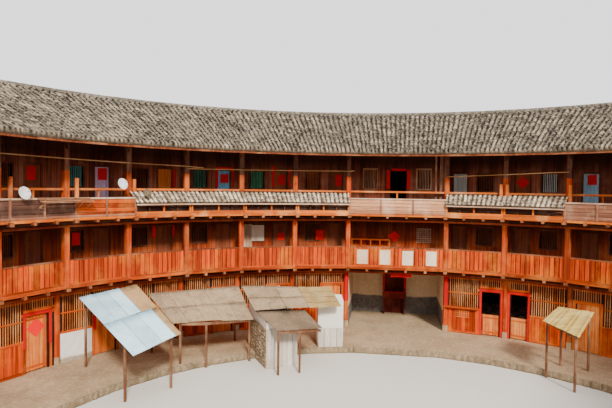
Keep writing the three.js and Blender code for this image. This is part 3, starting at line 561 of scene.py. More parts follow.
# Both room fronts darken upwards under the eaves and under the third-floor deck: painted shade.
THIRD_WALL = finish("third floor planks", TIMBER, (204, 112, 76), (92, 42, 28), (216, 152, 116), 0.4,
                    painted_shade=(7.15, 8.0, (46, 24, 18)))
SECOND_WALL = finish("second floor planks", TIMBER, (210, 86, 32), (104, 34, 14), (220, 132, 76), 0.35,
                     painted_shade=(4.25, 5.2, (48, 20, 12)))
GREY_WOOD = finish("weathered boards", TIMBER, (236, 172, 126), (138, 90, 62), (244, 212, 180), 0.45)
DARK_GREY_WOOD = finish("old boards", TIMBER, (126, 84, 66), (66, 42, 34), (176, 140, 118), 0.5)
PALE_GREY = finish("pale battens", TIMBER, (226, 188, 156), (160, 120, 92), (242, 222, 200), 0.5)
TAN_WOOD = finish("tan rails", TIMBER, (244, 128, 46), (160, 72, 26), (248, 186, 128), 0.45)
COLUMN_WOOD = finish("column timber", TIMBER, (226, 82, 10), (104, 30, 6), (240, 150, 76), 0.35)
# Grey-brown old timber; on the column heads under the eaves its darkness is painted shade.
OLD_SHADED_TIMBER = finish("old shaded timber", TIMBER, (134, 82, 58), (70, 42, 32), (170, 124, 98), 0.45)
BROWN_GREY_WOOD = finish("brown grey boards", TIMBER, (186, 126, 94), (104, 64, 48), (212, 172, 142), 0.5)
CAP_WOOD = finish("cap rails", TIMBER, (158, 88, 50), (84, 42, 24), (196, 146, 108), 0.4)
SAWN_END = finish("sawn ends", TIMBER, (184, 98, 46), (92, 50, 28), (210, 150, 104), 0.5)
BROWN = finish("brown timber", TIMBER, (134, 70, 42), (72, 36, 24), (164, 112, 80), 0.4)
SLAT = finish("window slats", TIMBER, (250, 158, 84), (150, 66, 24), (252, 204, 150), 0.35)
RED = finish("red paint", TIMBER, (228, 10, 2), (166, 4, 2), (240, 50, 30), 0.15)
BROWN_SHEET = finish("brown sheet", MINERAL, (140, 118, 94), (66, 54, 42), (176, 154, 128), 0.5, 0.002)
RUST_RED = finish("old red paint", TIMBER, (146, 34, 18), (70, 14, 8), (176, 80, 56), 0.3)
PAPER = finish("red paper", MINERAL, (255, 14, 8), (214, 4, 4), (255, 60, 40), 0.1, 0.001)
PALE_PAPER = finish("pale panels", MINERAL, (240, 222, 196), (206, 160, 120), (250, 240, 224), 0.5, 0.001)
BAMBOO = finish("bamboo", TIMBER, (226, 178, 118), (156, 108, 62), (240, 212, 170), 0.3)
DISH = finish("white dish", MINERAL, (244, 244, 242), (214, 214, 212), (252, 252, 250), 0.15, 0.0005)
TILE = finish("roof tiles", LAID_TILE, (158, 140, 116), (20, 16, 13), (214, 199, 174), 0.3)
PALE_TILE = finish("pale tiles", LAID_TILE, (252, 228, 192), (74, 56, 42), (252, 242, 222), 0.25)
STONE = finish("stone", MINERAL, (214, 186, 148), (150, 124, 94), (232, 212, 182), 0.35, 0.012,
               grain="still")
EARTH = finish("rammed earth", MINERAL, (206, 166, 116), (146, 110, 74), (224, 194, 150), 0.5, 0.02,
               grain="still", lift=0.42, soot=(17.9, (58, 42, 32)))
PLASTER = finish("white plaster", MINERAL, (252, 250, 244), (222, 216, 204), (254, 252, 248), 0.3, 0.004,
                 grain="still", band=(0.45, (204, 192, 172), (150, 134, 112)))
HALL_PLASTER = finish("hall plaster", MINERAL, (255, 236, 204), (206, 176, 138), (255, 246, 228), 0.45,
                      0.006, grain="still", band=(1.15, (150, 142, 134), (84, 78, 74)))
FOOTING = finish("footing stones", MINERAL, (190, 172, 146), (92, 80, 66), (214, 200, 178), 0.3, 0.03,
                 grain="still", joints=2.6)
RIDGE_TILE = finish("ridge tiles", MINERAL, (182, 168, 148), (96, 86, 74), (214, 204, 188), 0.4, 0.01,
                    grain="still", joints=3.5)
CAD_ORANGE = finish("orange panels", TIMBER, (214, 92, 30), (110, 40, 16), (226, 150, 96), 0.35,
                    grain="upright")
CAD_DARK = finish("dark panels", TIMBER, (62, 34, 24), (34, 18, 12), (84, 54, 40), 0.3, grain="upright")
CAD_BROWN = finish("brown panels", TIMBER, (120, 62, 40), (62, 30, 20), (146, 96, 70), 0.35,
                   grain="upright")
CAD_GREY = finish("grey panels", TIMBER, (186, 148, 120), (112, 84, 66), (206, 182, 158), 0.45,
                  grain="upright")
CAD_POLE = finish("rough poles", TIMBER, (164, 112, 76), (92, 58, 40), (196, 154, 120), 0.45,
                  grain="upright")
CAD_FASCIA = finish("fascia boards", TIMBER, (184, 96, 46), (100, 48, 24), (210, 146, 98), 0.5,
                    grain="upright")
ALTAR_WOOD = finish("altar timber", TIMBER, (150, 44, 26), (62, 18, 14), (176, 84, 56), 0.3,
                    grain="upright")
BLUE_SHEET = finish("blue sheet", MINERAL, (214, 244, 252), (98, 148, 174), (242, 251, 253), 0.2, 0.002)
TAN_SHEET = finish("tan sheet", MINERAL, (196, 160, 112), (98, 76, 50), (220, 194, 152), 0.4, 0.002)
GREY_SHEET = finish("grey sheet", MINERAL, (180, 154, 122), (84, 68, 52), (212, 192, 162), 0.55, 0.002)
STRAW = finish("woven straw", TIMBER, (232, 204, 120), (158, 124, 62), (246, 230, 170), 0.3, 0.004)
SHED_BOARD = finish("grey white boards", TIMBER, (220, 212, 200), (168, 156, 140), (236, 232, 224), 0.4)
RUBBLE = finish("rubble stones", LAID_TILE, (214, 190, 156), (92, 74, 54), (230, 214, 186), 0.3, 0.006)
EDGE_STONE = finish("edge stones", MINERAL, (176, 152, 120), (88, 74, 54), (206, 188, 158), 0.45, 0.012)
THATCH = finish("straw thatch", TIMBER, (196, 166, 108), (124, 98, 60), (224, 202, 152), 0.35, 0.006)

CAD_FINISH = {
    "stone_platform": STONE, "stone_footing": FOOTING, "gate_frame": STONE,
    "earth_wall_hall": EARTH, "earth_wall_right": EARTH, "earth_wall_gate": EARTH, "earth_wall_left": EARTH,
    "kitchen_front_right_end": CAD_DARK, "kitchen_front_right": CAD_DARK, "kitchen_front_left": CAD_DARK,
    "kitchen_front_far_left": CAD_DARK, "door_frames_right": CAD_DARK, "door_frame_left": CAD_DARK,
    "left_door": CAD_ORANGE, "right_half_door_near": CAD_ORANGE, "right_half_door_far": CAD_ORANGE,
    "second_gallery_hall": CAD_BROWN, "second_gallery_gate": CAD_BROWN,
    "parapet_left": CAD_GREY, "parapet_hall": CAD_GREY, "parapet_right": CAD_GREY, "parapet_gate": CAD_GREY,
    "hall_walls": HALL_PLASTER, "hall_altar": ALTAR_WOOD, "plaster_screen": PLASTER, "shed_walls": PLASTER,
    "blue_canopy": BLUE_SHEET, "grey_roof": GREY_SHEET, "shed_roof": GREY_SHEET, "low_roof": GREY_SHEET,
    "mat_awning": STRAW, "roof_ridge": RIDGE_TILE,
    "blue_canopy_frame": CAD_POLE, "grey_roof_frame": CAD_POLE, "low_roof_frame": CAD_POLE,
    "mat_awning_frame": CAD_POLE, "eaves_board": CAD_FASCIA,
}


def dress_frame():
    """Gives every node of the frame its finish; timber that isn't listed is brown."""
    for name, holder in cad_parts.items():
        material = CAD_FINISH.get(name, CAD_BROWN)
        for slot in holder.material_slots:
            slot.material = material


# Roof.

# How far pans lie over their boards, how far covers stand over pans, how far a course rises to its lip, and
# how far single tiles are off, in metres.
ROOF_TILE = (0.028, 0.062, 0.026, 0.006)
SKIRT_TILE = (0.012, 0.036, 0.030, 0.004)
TILE_DRIFT = 0.0009
TILE_SAMPLES = 6
# How far the underside of a slope's tiles lies in the roof at its eaves and ridge, and its tones there.
EAVES_DROP, RIDGE_DROP = 0.08, 0.04
UNDER_TONES = [[0.45], [0.0]]
RIDGE_SHADE = -0.3


def roof_top(radius):
    """Height of the roof slab's upper face."""
    return EAVES_SOFFIT + ROOF_SLOPE * (RIDGE - EAVES_INNER - np.abs(radius - RIDGE)) + ROOF_THICKNESS


def tile_courses(courses, rows, count, lap):
    """The grid of laid tiles. For each line of points: its course, 1 at the lip or 0 at the head, and its
    share of the slope. For each point across: its row, and how far it is up on a cover tile, which is
    0.75 + 0.85 cos(2 pi s) held between 0 and 1."""
    course = np.repeat(np.arange(courses), 2)
    lip = np.tile([0.0, 1.0], courses)
    number = np.arange(count)
    row = np.minimum(number // TILE_SAMPLES, rows - 1)
    phase = (number % TILE_SAMPLES) / TILE_SAMPLES
    cover = np.clip(0.75 + 0.85 * np.cos(2 * math.pi * phase), 0, 1)
    return course, lip, (course + lip * lap) / courses, row, cover


def tile_rise(shape, sizes, course, lip, row, cover):
    """Height of laid tiles over their boards: seat + cover rise c + lip rise l + each tile's own."""
    seat, cover_rise, lip_rise, wobble = shape
    own = RNG.normal(0, wobble, sizes)[course][:, row]
    return seat + cover_rise * cover[None] + lip_rise * lip[:, None] + own


def tile_tone_and_shade(sizes, course, lip, row, cover):
    """Tone of laid tiles: each has its own and one in seven is pale; covers are lighter than pans, and the
    head under a lip is dark, both as painted shade."""
    own = 0.2 + 0.5 * RNG.uniform(0, 1, sizes) ** 1.3
    own = np.where(RNG.uniform(0, 1, sizes) < 1 / 7, 1.0, own)[course][:, row]
    # Pans darker than covers and each tile's head darker than its lip: painted shade.
    return own * cover[None] ** 1.5 * (0.55 + 0.45 * lip[:, None])


def tile_skin(name, low, high, rows, courses):
    """A ring of laid tiles between its eaves radius and its ridge radius. Across a row the height is a raised
    cosine, so cover rows stand over pans; along the slope each course rises to its lower lip, then drops onto
    the next. The section closes underneath, so the ring is one closed tube."""
    count = rows * TILE_SAMPLES
    course, lip, travel, row, cover = tile_courses(courses, rows, count, lap=0.985)
    radius = high + (low - high) * travel
    turn = np.arange(count) / count * 2 * math.pi
    rise = tile_rise(ROOF_TILE, (courses, rows), course, lip, row, cover)
    sag = 0.01 * np.sin(turn * 9 + 1.3) + 0.007 * np.sin(turn * 23 + 0.4)
    drift = RNG.normal(0, TILE_DRIFT, (courses, rows))[course][:, row]
    top = polar(radius[:, None], turn + drift, roof_top(radius)[:, None] + rise + sag)
    edges = np.array([low, high])
    level = roof_top(edges) - np.array([EAVES_DROP, RIDGE_DROP])
    under = polar(edges[:, None], turn, level[:, None])
    tone = tile_tone_and_shade((courses, rows), course, lip, row, cover)
    tone[0] = RIDGE_SHADE
    under_tone = np.repeat(UNDER_TONES, count, axis=1)
    quads = grid_quads(2 * courses + 2, count, True, True)
    part = surface(np.concatenate([top, under]), quads, np.concatenate([tone, under_tone]))
    return put(name, flipped(part, low > high), TILE, smooth=True)


def roof_tiles():
    """The inner and the outer slope."""
    tile_skin("tiles_inner_slope", EAVES_INNER - 0.1, RIDGE - 0.11, 400, 16)
    tile_skin("tiles_outer_slope", EAVES_OUTER - 0.02, RIDGE + 0.11, 420, 17)


def pent_tiles(name, bays, rows=12, courses=4):
    """Tiles of one run of the small skirt roof, straight along each bay, closed below and at both ends."""
    count = rows * TILE_SAMPLES + 1
    rings = 2 * courses + 2
    course, lip, travel, row, cover = tile_courses(courses, rows, count, lap=0.97)
    fraction = np.arange(count) / (count - 1)
    reach = PENT_INNER + (PENT_OUTER - 0.03 - PENT_INNER) * travel
    slope = PENT_HIGH + (PENT_LOW - PENT_HIGH) * travel
    edges = np.array([[PENT_OUTER - 0.02], [PENT_INNER]])
    undersides = np.array([[PENT_LOW - 0.01], [PENT_HIGH - 0.01]])
    ring = np.arange(rings) * count
    i = np.arange(courses)
    ends = np.stack([ring[i], ring[i + 1], ring[rings - 2 - i], ring[rings - 1 - i]], -1)
    quads = np.concatenate([grid_quads(rings, count, True, False), ends, ends[:, ::-1] + count - 1])
    parts = []
    for bay in bays:
        rise = tile_rise(SKIRT_TILE, (courses, rows), course, lip, row, cover)
        top = place(bay, fraction, reach[:, None], slope[:, None] + rise)
        under = place(bay, fraction, edges, undersides)
        tone = tile_tone_and_shade((courses, rows), course, lip, row, cover)
        tone = np.concatenate([tone, np.zeros((2, count))])
        parts.append(flipped(surface(np.concatenate([top, under]), quads, tone), bay < 0))
    put(name, parts, PALE_TILE, smooth=True)


def rafters(number=4, size=0.08, below=0.05):
    """Round rafters under both slopes of the roof, just below its boards."""
    inner, outer = [], []
    fractions = (np.arange(number) + 0.5) / number
    slopes = ((inner, EAVES_INNER + 0.12, RIDGE - 0.4), (outer, EAVES_OUTER - 0.25, WALL_OUTER))
    for bay in ALL_BAYS:
        for parts, low, high in slopes:
            foot, head = roof_top(np.array([low, high])) - (ROOF_THICKNESS + below)
            start, stop = place(bay, fractions, low, foot), place(bay, fractions, high, head)
            parts.append(bars(start, stop, along(bay), size, size, squareness=0.8))
    put("inner_rafters", inner, OLD_SHADED_TIMBER)
    put("outer_rafters", outer, OLD_SHADED_TIMBER)


# Windows of the earth wall: half their width, their bars and their sill and head above the floor, in metres.
# They stand at a fraction of a side bay, and in the two wide bays so far right of the bay's middle.
WALL_WINDOW_HALF = 0.27
WALL_WINDOW_BARS = 4
WALL_WINDOW_SILL, WALL_WINDOW_HEAD = 1.15, 1.80
WALL_WINDOW_MIDDLE = 0.75
WIDE_WINDOW_PLACES = {0: 2.18, GATE_BAY: 1.30}


def wall_windows():
    """Bars and a lintel board in each small window of the earth wall."""
    slats, lintels = [], []
    for bay in ALL_BAYS:
        width = bay_width(bay, WALL_OUTER)
        wide = bay in WIDE_WINDOW_PLACES
        middle = 0.5 + WIDE_WINDOW_PLACES[bay] / width if wide else WALL_WINDOW_MIDDLE
        half = WALL_WINDOW_HALF / width
        slots = middle + np.linspace(-half, half, WALL_WINDOW_BARS + 2)[1:-1]
        ends = (middle - half * 1.5, middle + half * 1.5)
        for floor in (SECOND_FLOOR, THIRD_FLOOR):
            heights = (floor + WALL_WINDOW_SILL, floor + WALL_WINDOW_HEAD)
            slats.append(upright(bay, slots, heights, WALL_OUTER - 0.1, 0.045, 0.045))
            lintels.append(rail(bay, ends, heights[1] + 0.06, WALL_OUTER + 0.02, 0.1, 0.06))
    put("wall_window_bars", slats, BROWN)
    put("wall_window_lintels", lintels, BROWN)


def edge_stones(each_bay=5, most=0.06):
    """One course of rough stones along the edge of the apron: a face that swells by |sin|^0.5 across each
    stone and up it, more on some stones than on others."""
    parts = []
    u, w = np.meshgrid(np.linspace(0, 1, 49), np.linspace(0.005, APRON_TOP - 0.004, 7))
    rounded = np.sin(math.pi * (0.15 + 0.7 * w / APRON_TOP)) ** 0.5
    for bay in ALL_BAYS:
        stone = (u * each_bay + 0.5 * np.sin(u * 9 + bay * 1.7)) % 1
        swell = most * np.abs(np.sin(math.pi * stone)) ** 0.5 * rounded
        swell = swell * (0.6 + 0.4 * np.sin(u * 23 + bay * 2.3) ** 2)
        front = place(bay, u, APRON_EDGE - 0.01 - swell, w)
        back = place(bay, u, APRON_EDGE - 0.003, w)
        parts.append(flipped(closed_sheet(front, back, swell * 8, front), bay >= 0))
    put("apron_edge_stones", parts, EDGE_STONE, smooth=True)


# Galleries.


def between_columns(bay):
    """The stretch of a bay that its gallery columns leave free."""
    edge = 0.1 / bay_width(bay, GALLERY)
    return edge, 1 - edge


def balustrade():
    """Upright planks between the second-floor columns, each of its own tone, with cap rail and skirting."""
    planks, caps, skirtings = [], [], []
    heights = (SECOND_FLOOR + 0.05, BALUSTRADE_TOP - 0.04)
    for bay in ALL_BAYS:
        span = between_columns(bay)
        planks.append(boards(bay, span, heights, GALLERY - 0.02, thickness=0.022, width=0.185, gap=0.028,
                             jitter=0.008))
        caps.append(rail(bay, span, BALUSTRADE_TOP - 0.03, GALLERY, 0.06, 0.1))
        skirtings.append(rail(bay, span, SECOND_FLOOR + 0.045, GALLERY - 0.03, 0.08, 0.05))
    spots, heights = np.array([0.36, 0.66]), (SECOND_FLOOR + 0.08, BALUSTRADE_TOP - 0.05)
    battens = [upright(bay, spots, heights, GALLERY - 0.06, 0.05, 0.03) for bay in (1, 2, 3, 4)]
    put("balustrade_battens", battens, RUST)
    put("balustrade_planks", planks, ORANGE)
    put("balustrade_cap_rails", caps, CAP_WOOD)
    put("balustrade_skirtings", skirtings, DEEP_ORANGE)


def hall_panels():
    """Four plain pale panels in orange frames on the balustrade over the hall."""
    panels, frames = [], []
    radius, heights = GALLERY - 0.05, (3.28, 3.97)
    front, lap, width, depth = radius - 0.008, 0.008, 0.04, 0.024
    for first, last in ((0.095, 0.215), (0.33, 0.445), (0.56, 0.68), (0.80, 0.915)):
        panels.append(patch(0, (first, last), heights, radius, thickness=0.006))
        frames += [rail(0, (first - lap, last + lap), level, front, width, depth) for level in heights]
        frames.append(upright(0, np.array([first, last]), heights, front, width, depth))
    put("balustrade_panels", panels, PALE_PAPER)
    put("balustrade_panel_frames", frames, BRIGHT_ORANGE)


def deck_edges(depth=0.026):
    """Rim boards along the edges of both decks, and a narrow board along the foot of each beam."""
    second, third, lower = [], [], []
    whole = (0, 1)
    for bay in ALL_BAYS:
        second.append(rail(bay, whole, SECOND_DECK + 0.03, SECOND_EDGE - 0.014, 0.11, depth))
        third.append(rail(bay, whole, THIRD_DECK + 0.02, THIRD_EDGE - 0.014, 0.12, depth))
        lower.append(rail(bay, whole, THIRD_BEAM + 0.04, GALLERY - 0.115, 0.08, depth))
        lower.append(rail(bay, whole, GROUND_BEAM + 0.05, KITCHEN - 0.115, 0.1, depth))
    put("second_floor_rim_boards", second, DEEP_ORANGE)
    put("third_floor_rim_boards", third, BRIGHT_ORANGE)
    put("beam_foot_boards", lower, RUST)


def joists(stout=0.17, slight=0.12, end_length=0.006):
    """Round joists: a stout one at each column and two slighter ones between, with pale sawn ends."""
    logs, ends = [], []
    floors = (
        (SECOND_JOIST_END, KITCHEN, SECOND_JOIST + 0.055),
        (THIRD_JOIST_END, GALLERY, THIRD_JOIST + 0.055),
    )
    for bay in ALL_BAYS:
        for fraction in (0.0, 0.33, 0.67) if bay != 0 else (0.0, 0.2, 0.4, 0.6, 0.8):
            width = stout if fraction == 0 else slight
            for inner, outer, level in floors:
                start = place(bay, fraction, inner, level)
                stop = place(bay, fraction, outer, level)
                logs.append(bars(start, stop, along(bay), width, slight, squareness=0.45))
                tip = start + unit(start - stop) * end_length
                ends.append(bars(tip, start, along(bay), width * 0.95, slight * 0.95, squareness=0.45))
    put("round_joists", logs, BROWN)
    put("joist_ends", ends, SAWN_END)


def parapets():
    """Open runs of the third floor: level boards between battens, with a pale cap rail."""
    looks = {-5: DEEP_ORANGE, -6: DARK_GREY_WOOD, -7: DARK_GREY_WOOD, 0: GREY_WOOD}
    planks, battens, caps = {}, [], []
    whole = (0, 1)
    plank_heights = (THIRD_FLOOR + 0.02, PARAPET_TOP - 0.075)
    batten_heights = (THIRD_FLOOR + 0.01, PARAPET_TOP - 0.03)
    for bay in PARAPET_BAYS:
        spots = np.array([0.0, 0.333, 0.667, 1.0]) if bay == 0 else np.array([0.0, 0.5, 1.0])
        material = looks.get(bay, BROWN_GREY_WOOD)
        laid = level_boards(bay, whole, plank_heights, PARAPET, thickness=0.022, width=0.14, gap=0.012)
        planks.setdefault(material.name, (material, []))[1].append(laid)
        battens.append(upright(bay, spots, batten_heights, PARAPET - 0.05, 0.07, 0.04))
        caps.append(rail(bay, whole, PARAPET_TOP - 0.034, PARAPET + 0.02, 0.062, 0.15))
        battens.append(rail(bay, whole, THIRD_FLOOR + 0.05, PARAPET - 0.045, 0.07, 0.035))
    for number, (material, parts) in enumerate(planks.values()):
        put(f"parapet_planks_{number + 1}", parts, material)
    put("parapet_battens", battens, BROWN_GREY_WOOD)
    put("parapet_cap_rails", caps, PALE_GREY)


def parapet_flap(number=4, step_out=0.085, step_down=0.045):
    """Weathered boards that lean out over the left parapet, each lower than the last, on short props."""
    laid = []
    for bay, span in ((-6, (0.0, 0.62)), (-5, (0.78, 1.0))):
        for board in range(number):
            radius, level = PARAPET - 0.10 - step_out * board, PARAPET_TOP - 0.015 - step_down * board
            laid.append(rail(bay, span, level, radius, 0.018, 0.095))
        props = np.array([span[0] + 0.04, span[1] - 0.04])
        start = place(bay, props, PARAPET - 0.08, PARAPET_TOP - 0.32)
        stop = place(bay, props, PARAPET - 0.34, PARAPET_TOP - 0.17)
        laid.append(bars(start, stop, along(bay), 0.04, 0.03))
    put("parapet_flap_boards", laid, GREY_WOOD)


def pent_undersides(number=9, below=0.085):
    """Under each skirt roof: short posts, a bright lower rail, a pale purlin, rafters, and level boards set
    back in the shade."""
    posts, back, purlins, spars = [], [], [], []
    whole, post_spots = (0, 1), np.array([0.02, 0.5, 0.98])
    fractions = (np.arange(number) + 0.5) / number
    heights = (THIRD_FLOOR + 0.02, 6.0)
    for bay in PENT_BAYS:
        posts.append(upright(bay, post_spots, (THIRD_FLOOR, 6.02), PARAPET, 0.07, 0.06))
        posts.append(rail(bay, whole, THIRD_FLOOR + 0.07, PARAPET - 0.02, 0.13, 0.05))
        purlins.append(rail(bay, whole, 6.015, PENT_OUTER + 0.02, 0.06, 0.05))
        laid = level_boards(bay, whole, heights, PARAPET + 0.16, thickness=0.02, width=0.13, gap=0.02)
        back.append(laid)
        start = place(bay, fractions, PENT_OUTER + 0.04, PENT_LOW - below)
        stop = place(bay, fractions, PENT_INNER - 0.04, PENT_HIGH - below)
        spars.append(bars(start, stop, along(bay), 0.05, 0.05))
    put("skirt_roof_posts", posts, BRIGHT_ORANGE)
    put("skirt_roof_boards", back, DARK_GREY_WOOD)
    put("skirt_roof_purlins", purlins, PALE_GREY)
    put("skirt_roof_rafters", spars, BROWN)


def inner_rails():
    """Rails and squat posts between the third-floor columns, seen over the parapet and the skirt roofs."""
    parts = []
    for bay in ALL_BAYS:
        span = between_columns(bay)
        heights = (THIRD_FLOOR + 0.05, INNER_RAIL - 0.4)
        parts.append(rail(bay, span, INNER_RAIL - 0.03, GALLERY, 0.085, 0.11))
        parts.append(rail(bay, span, INNER_RAIL - 0.36, GALLERY, 0.07, 0.05))
        parts.append(upright(bay, 0.5, (THIRD_FLOOR, INNER_RAIL - 0.07), GALLERY, 0.07, 0.06))
        parts.append(level_boards(bay, span, heights, GALLERY, thickness=0.02, width=0.15))
    heights = (THIRD_FLOOR, SQUAT_POST_TOP)
    for bay, fraction in ((-6, 0.86), (-5, 0.87), (-4, 0.93), (-7, 0.5), (2, 0.03), (3, 0.03), (1, 0.93)):
        parts.append(upright(bay, fraction, heights, GALLERY - 0.16, 0.13, 0.12, squareness=0.5))
    put("third_floor_inner_rails", parts, TAN_WOOD)


def columns():
    """Square gallery columns, orange below and grey-brown up under the roof, where the darker timber is
    painted shade of the eaves, and below them the round columns of the ground floor."""
    angle = column_angle(np.arange(-SIDE_COLUMNS, SIDE_COLUMNS))
    side = tangent(angle)
    clear = 0.002
    lots = (
        ("second_floor_columns", GALLERY, SECOND_FLOOR, THIRD_BEAM, 0.212, 0.18, COLUMN_WOOD),
        ("third_floor_columns", GALLERY, THIRD_FLOOR, COLUMN_SHADE_LINE, 0.214, 0.18, COLUMN_WOOD),
        # The heads under the eaves take the darker timber as painted shade.
        ("third_floor_column_heads", GALLERY, COLUMN_SHADE_LINE, COLUMN_TOP, 0.208, 0.18, OLD_SHADED_TIMBER),
        ("ground_columns", KITCHEN, PAD_TOP, GROUND_BEAM, 0.232, 0.85, COLUMN_WOOD),
    )
    for name, radius, foot, head, size, squareness, material in lots:
        start, stop = polar(radius, angle, foot + clear), polar(radius, angle, head - clear)
        put(name, bars(start, stop, side, size, size, squareness), material)
    tops = bars(polar(GALLERY - 0.16, angle, 8.0), polar(GALLERY - 0.08, angle, 8.5), side, 0.12, 0.1)
    put("column_brackets", tops, OLD_SHADED_TIMBER)


# Room fronts.

# Door and windows of the two wide bays: start and end from the bay's middle, sill and head from the floor, in
# metres. They are narrower at the gate.
WIDE_BAY_HOLES = ((-1.54, -0.96, 1.13, 2.03), (-0.56, 0.56, 0.0, 2.05), (0.96, 1.54, 1.13, 2.03))
GATE_SHARE = 0.62


def wide_bay_holes(bay):
    """Door and windows of the hall bay or the gate bay as fractions of the bay."""
    scale = (1.0 if bay == 0 else GATE_SHARE) / bay_width(bay, ROOM_FRONT)
    return [(0.5 + a * scale, 0.5 + b * scale, sill, head) for a, b, sill, head in WIDE_BAY_HOLES]


def wall_fields(bay, floor, top):
    """The closed fields of a room front: spans between holes, and those under and over each hole."""
    holes = wide_bay_holes(bay) if bay in (0, GATE_BAY) else [UPPER_DOOR, UPPER_WINDOW]
    low, edge, fields = floor + 0.01, 0.0, []
    for first, last, sill, head in holes:
        fields.append(((edge, first), (low, top)))
        if sill > 0:
            fields.append(((first, last), (low, floor + sill)))
        fields.append(((first, last), (floor + head, top)))
        edge = last
    fields.append(((edge, 1.0), (low, top)))
    return fields


def room_planks():
    """Boards on the room fronts of both upper floors, left out at each door and window. The hall bay of the
    second floor is boarded over."""
    for label, floor, top, material in (
        ("second", SECOND_FLOOR, THIRD_JOIST - 0.02, SECOND_WALL),
        ("third", THIRD_FLOOR, THIRD_WALL_TOP, THIRD_WALL),
    ):
        parts = []
        for bay in ALL_BAYS:
            closed = bay == 0 and floor == SECOND_FLOOR
            fields = [((0.0, 1.0), (floor + 0.01, top))] if closed else wall_fields(bay, floor, top)
            for span, heights in fields:
                parts.append(boards(bay, span, heights, ROOM_FRONT, thickness=0.018, width=0.2, gap=0.012,
                                    jitter=0.006))
        put(f"{label}_room_planks", parts, material)


# Screen colours of the painted doors and window bars of the third floor; 0 stands for all others.
DOOR_COLOURS = {
    0: (158, 82, 50), -5: (250, 214, 244), -4: (250, 136, 56), -3: (140, 216, 255), 1: (250, 255, 244),
    3: (188, 230, 255), -2: (178, 98, 60), -1: (168, 88, 54), 2: (172, 92, 56),
}
WINDOW_COLOURS = {
    0: (150, 84, 54), -5: (120, 212, 206), -3: (100, 160, 130), -2: (110, 206, 146), 2: (250, 246, 238),
    -1: (226, 128, 78),
}


def paint(name, colour):
    """Paint of its own colour on planks or bars."""
    base = np.array(colour, float)
    return finish(name, TIMBER, base, base * 0.7, np.minimum(base * 1.12, 255), 0.4, 0.002)


def frame_round(bay, first, last, low, high, with_sill):
    """Jambs and head of an opening in a room front, standing proud of its boards."""
    margin = 0.035 / bay_width(bay, ROOM_FRONT)
    radius, width = ROOM_FRONT - 0.012, 0.07
    span = (first - margin, last + margin)
    parts = [
        upright(bay, np.array(span), (low, high + width), radius, width, 0.05),
        rail(bay, span, high + width / 2, radius, width, 0.055),
    ]
    if with_sill:
        parts.append(rail(bay, span, low - 0.03, radius, 0.06, 0.07))
    return parts


def upper_doors():
    """Closed plank doors and barred windows of both upper floors, each in a frame."""
    leaves, window_bars, frames = {}, {}, []
    for floor in (SECOND_FLOOR, THIRD_FLOOR):
        for bay in SIDE_BAYS:
            painted = floor == THIRD_FLOOR
            first, last, _, head = UPPER_DOOR
            heights = (floor + 0.02, floor + head)
            leaf = boards(bay, (first, last), heights, ROOM_FRONT + 0.03, thickness=0.03, width=0.15)
            leaves.setdefault(bay if painted and bay in DOOR_COLOURS else 0, []).append(leaf)
            frames += frame_round(bay, first, last, floor + 0.01, floor + head, False)
            first, last, sill, head = UPPER_WINDOW
            frames += frame_round(bay, first, last, floor + sill, floor + head, True)
            slots = np.linspace(first, last, 10)[1:-1]
            barred = upright(bay, slots, (floor + sill, floor + head), ROOM_FRONT + 0.02, 0.03, 0.03)
            window_bars.setdefault(bay if painted and bay in WINDOW_COLOURS else 0, []).append(barred)
    for key, parts in leaves.items():
        name = "upper_doors" if key == 0 else f"painted_door_{key + COLUMNS}"
        material = paint(f"{name} paint", DOOR_COLOURS[key])
        put(name, parts, material)
    for key, parts in window_bars.items():
        name = "upper_window_bars" if key == 0 else f"painted_window_bars_{key + COLUMNS}"
        material = paint(f"{name} paint", WINDOW_COLOURS[key])
        put(name, parts, material)
    put("upper_frames", frames, BROWN)


